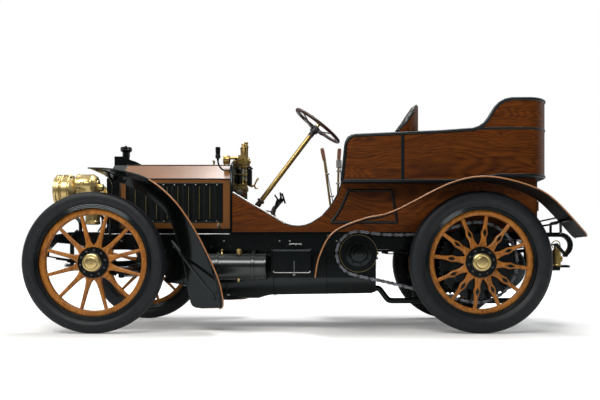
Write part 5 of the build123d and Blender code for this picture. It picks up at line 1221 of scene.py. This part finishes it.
FLOOR_HALF, FADE_REACH = 90, 9.0
floor = bpy.data.meshes.new("floor")
corners = [(x * FLOOR_HALF, y * FLOOR_HALF, 0) for x, y in ((-1, -1), (1, -1), (1, 1), (-1, 1))]
floor.from_pydata(corners, [], [(0, 1, 2, 3)])
add_object("floor", floor)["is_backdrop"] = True


def build_floor(t, shader, at):
    """Pale floor that fades to the white backdrop away from the car."""
    patch = t.noise(at, 2.0, 4.0)
    feed(t, shader, colour=t.mix(patch, (0.78, 0.78, 0.77), (0.84, 0.84, 0.83)), rough=0.8, spec=0.2)
    far = t.node("ShaderNodeVectorMath", {0: at}, operation="LENGTH").outputs["Value"]
    away = t.ramp(t.math("DIVIDE", far, FADE_REACH), [(0.22, 0.14), (0.75, 1.0)])
    seen = t.node("ShaderNodeLightPath").outputs["Is Camera Ray"]
    t.give(shader.inputs["Emission Color"], (1, 1, 1))
    t.give(shader.inputs["Emission Strength"], t.times(away, seen))


floor.materials.append(material("stage_floor", build_floor))

world = bpy.data.worlds.new("studio")
scene.world = world
world.use_nodes = True
sky = Tree(world.node_tree)
ray = sky.node("ShaderNodeSeparateXYZ", {0: sky.node("ShaderNodeTexCoord").outputs["Generated"]}).outputs
side = sky.math("MULTIPLY_ADD", ray["Y"], 0.5)
shown = sky.ramp(side, [(0.3, 0.1), (0.5, 0.75), (0.56, 1.0), (0.78, 0.8), (0.9, 0.15), (1.0, 0.05)])
fill = sky.ramp(side, [(0.25, 0.1), (0.7, 0.5)])
path = sky.node("ShaderNodeLightPath").outputs
lit = sky.mix(path["Is Glossy Ray"], fill, shown)
plain = sky.plus(path["Is Camera Ray"], path["Is Transmission Ray"], True)
tone = sky.mix(plain, lit, (1, 1, 1))
backdrop = world.node_tree.nodes["Background"].inputs
sky.give(backdrop["Color"], tone)
sky.give(backdrop["Strength"], 1.0)


def lamp(name, at, to, size, power, colour=(1, 1, 1), mirrored=True):
    data = bpy.data.lights.new(name, "AREA")
    data.shape = "RECTANGLE"
    data.size, data.size_y = size
    data.energy = power
    data.color = colour
    obj = add_object(name, data)
    obj.location = at
    obj.rotation_euler = (Vector(to) - Vector(at)).to_track_quat("-Z", "Y").to_euler()
    obj.visible_glossy = mirrored


lamp("key", (-2.5, -5.0, 5.5), (0, 0, 0.7), (6, 2.0), 440, (1, 0.98, 0.95))
lamp("top", (0.5, 0.5, 6.0), (0, 0, 0.5), (6, 1.6), 320)
lamp("rim", (4.5, 4.0, 3.5), (0, 0, 0.7), (3, 3), 160, (0.93, 0.96, 1), mirrored=False)

# Lens, optical centre and station are fitted to the four wheels
PHOTO_W, PHOTO_H = 600, 400
CENTRE_RIGHT, CENTRE_DOWN = 35, 65
cam = bpy.data.cameras.new("photo_camera")
cam.sensor_width = 36.0
cam.lens = 44.44
cam.shift_x = -CENTRE_RIGHT / PHOTO_W
cam.shift_y = CENTRE_DOWN / PHOTO_W
cam.clip_end = 250
cam_obj = add_object("photo_camera", cam)
cam_obj.location = station(1558.5, -5490, 442)
cam_obj.rotation_euler = (radians(90), 0, 0)
scene.camera = cam_obj
scene.view_settings.view_transform = "Standard"
scene.render.resolution_x = PHOTO_W
scene.render.resolution_y = PHOTO_H

low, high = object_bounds()
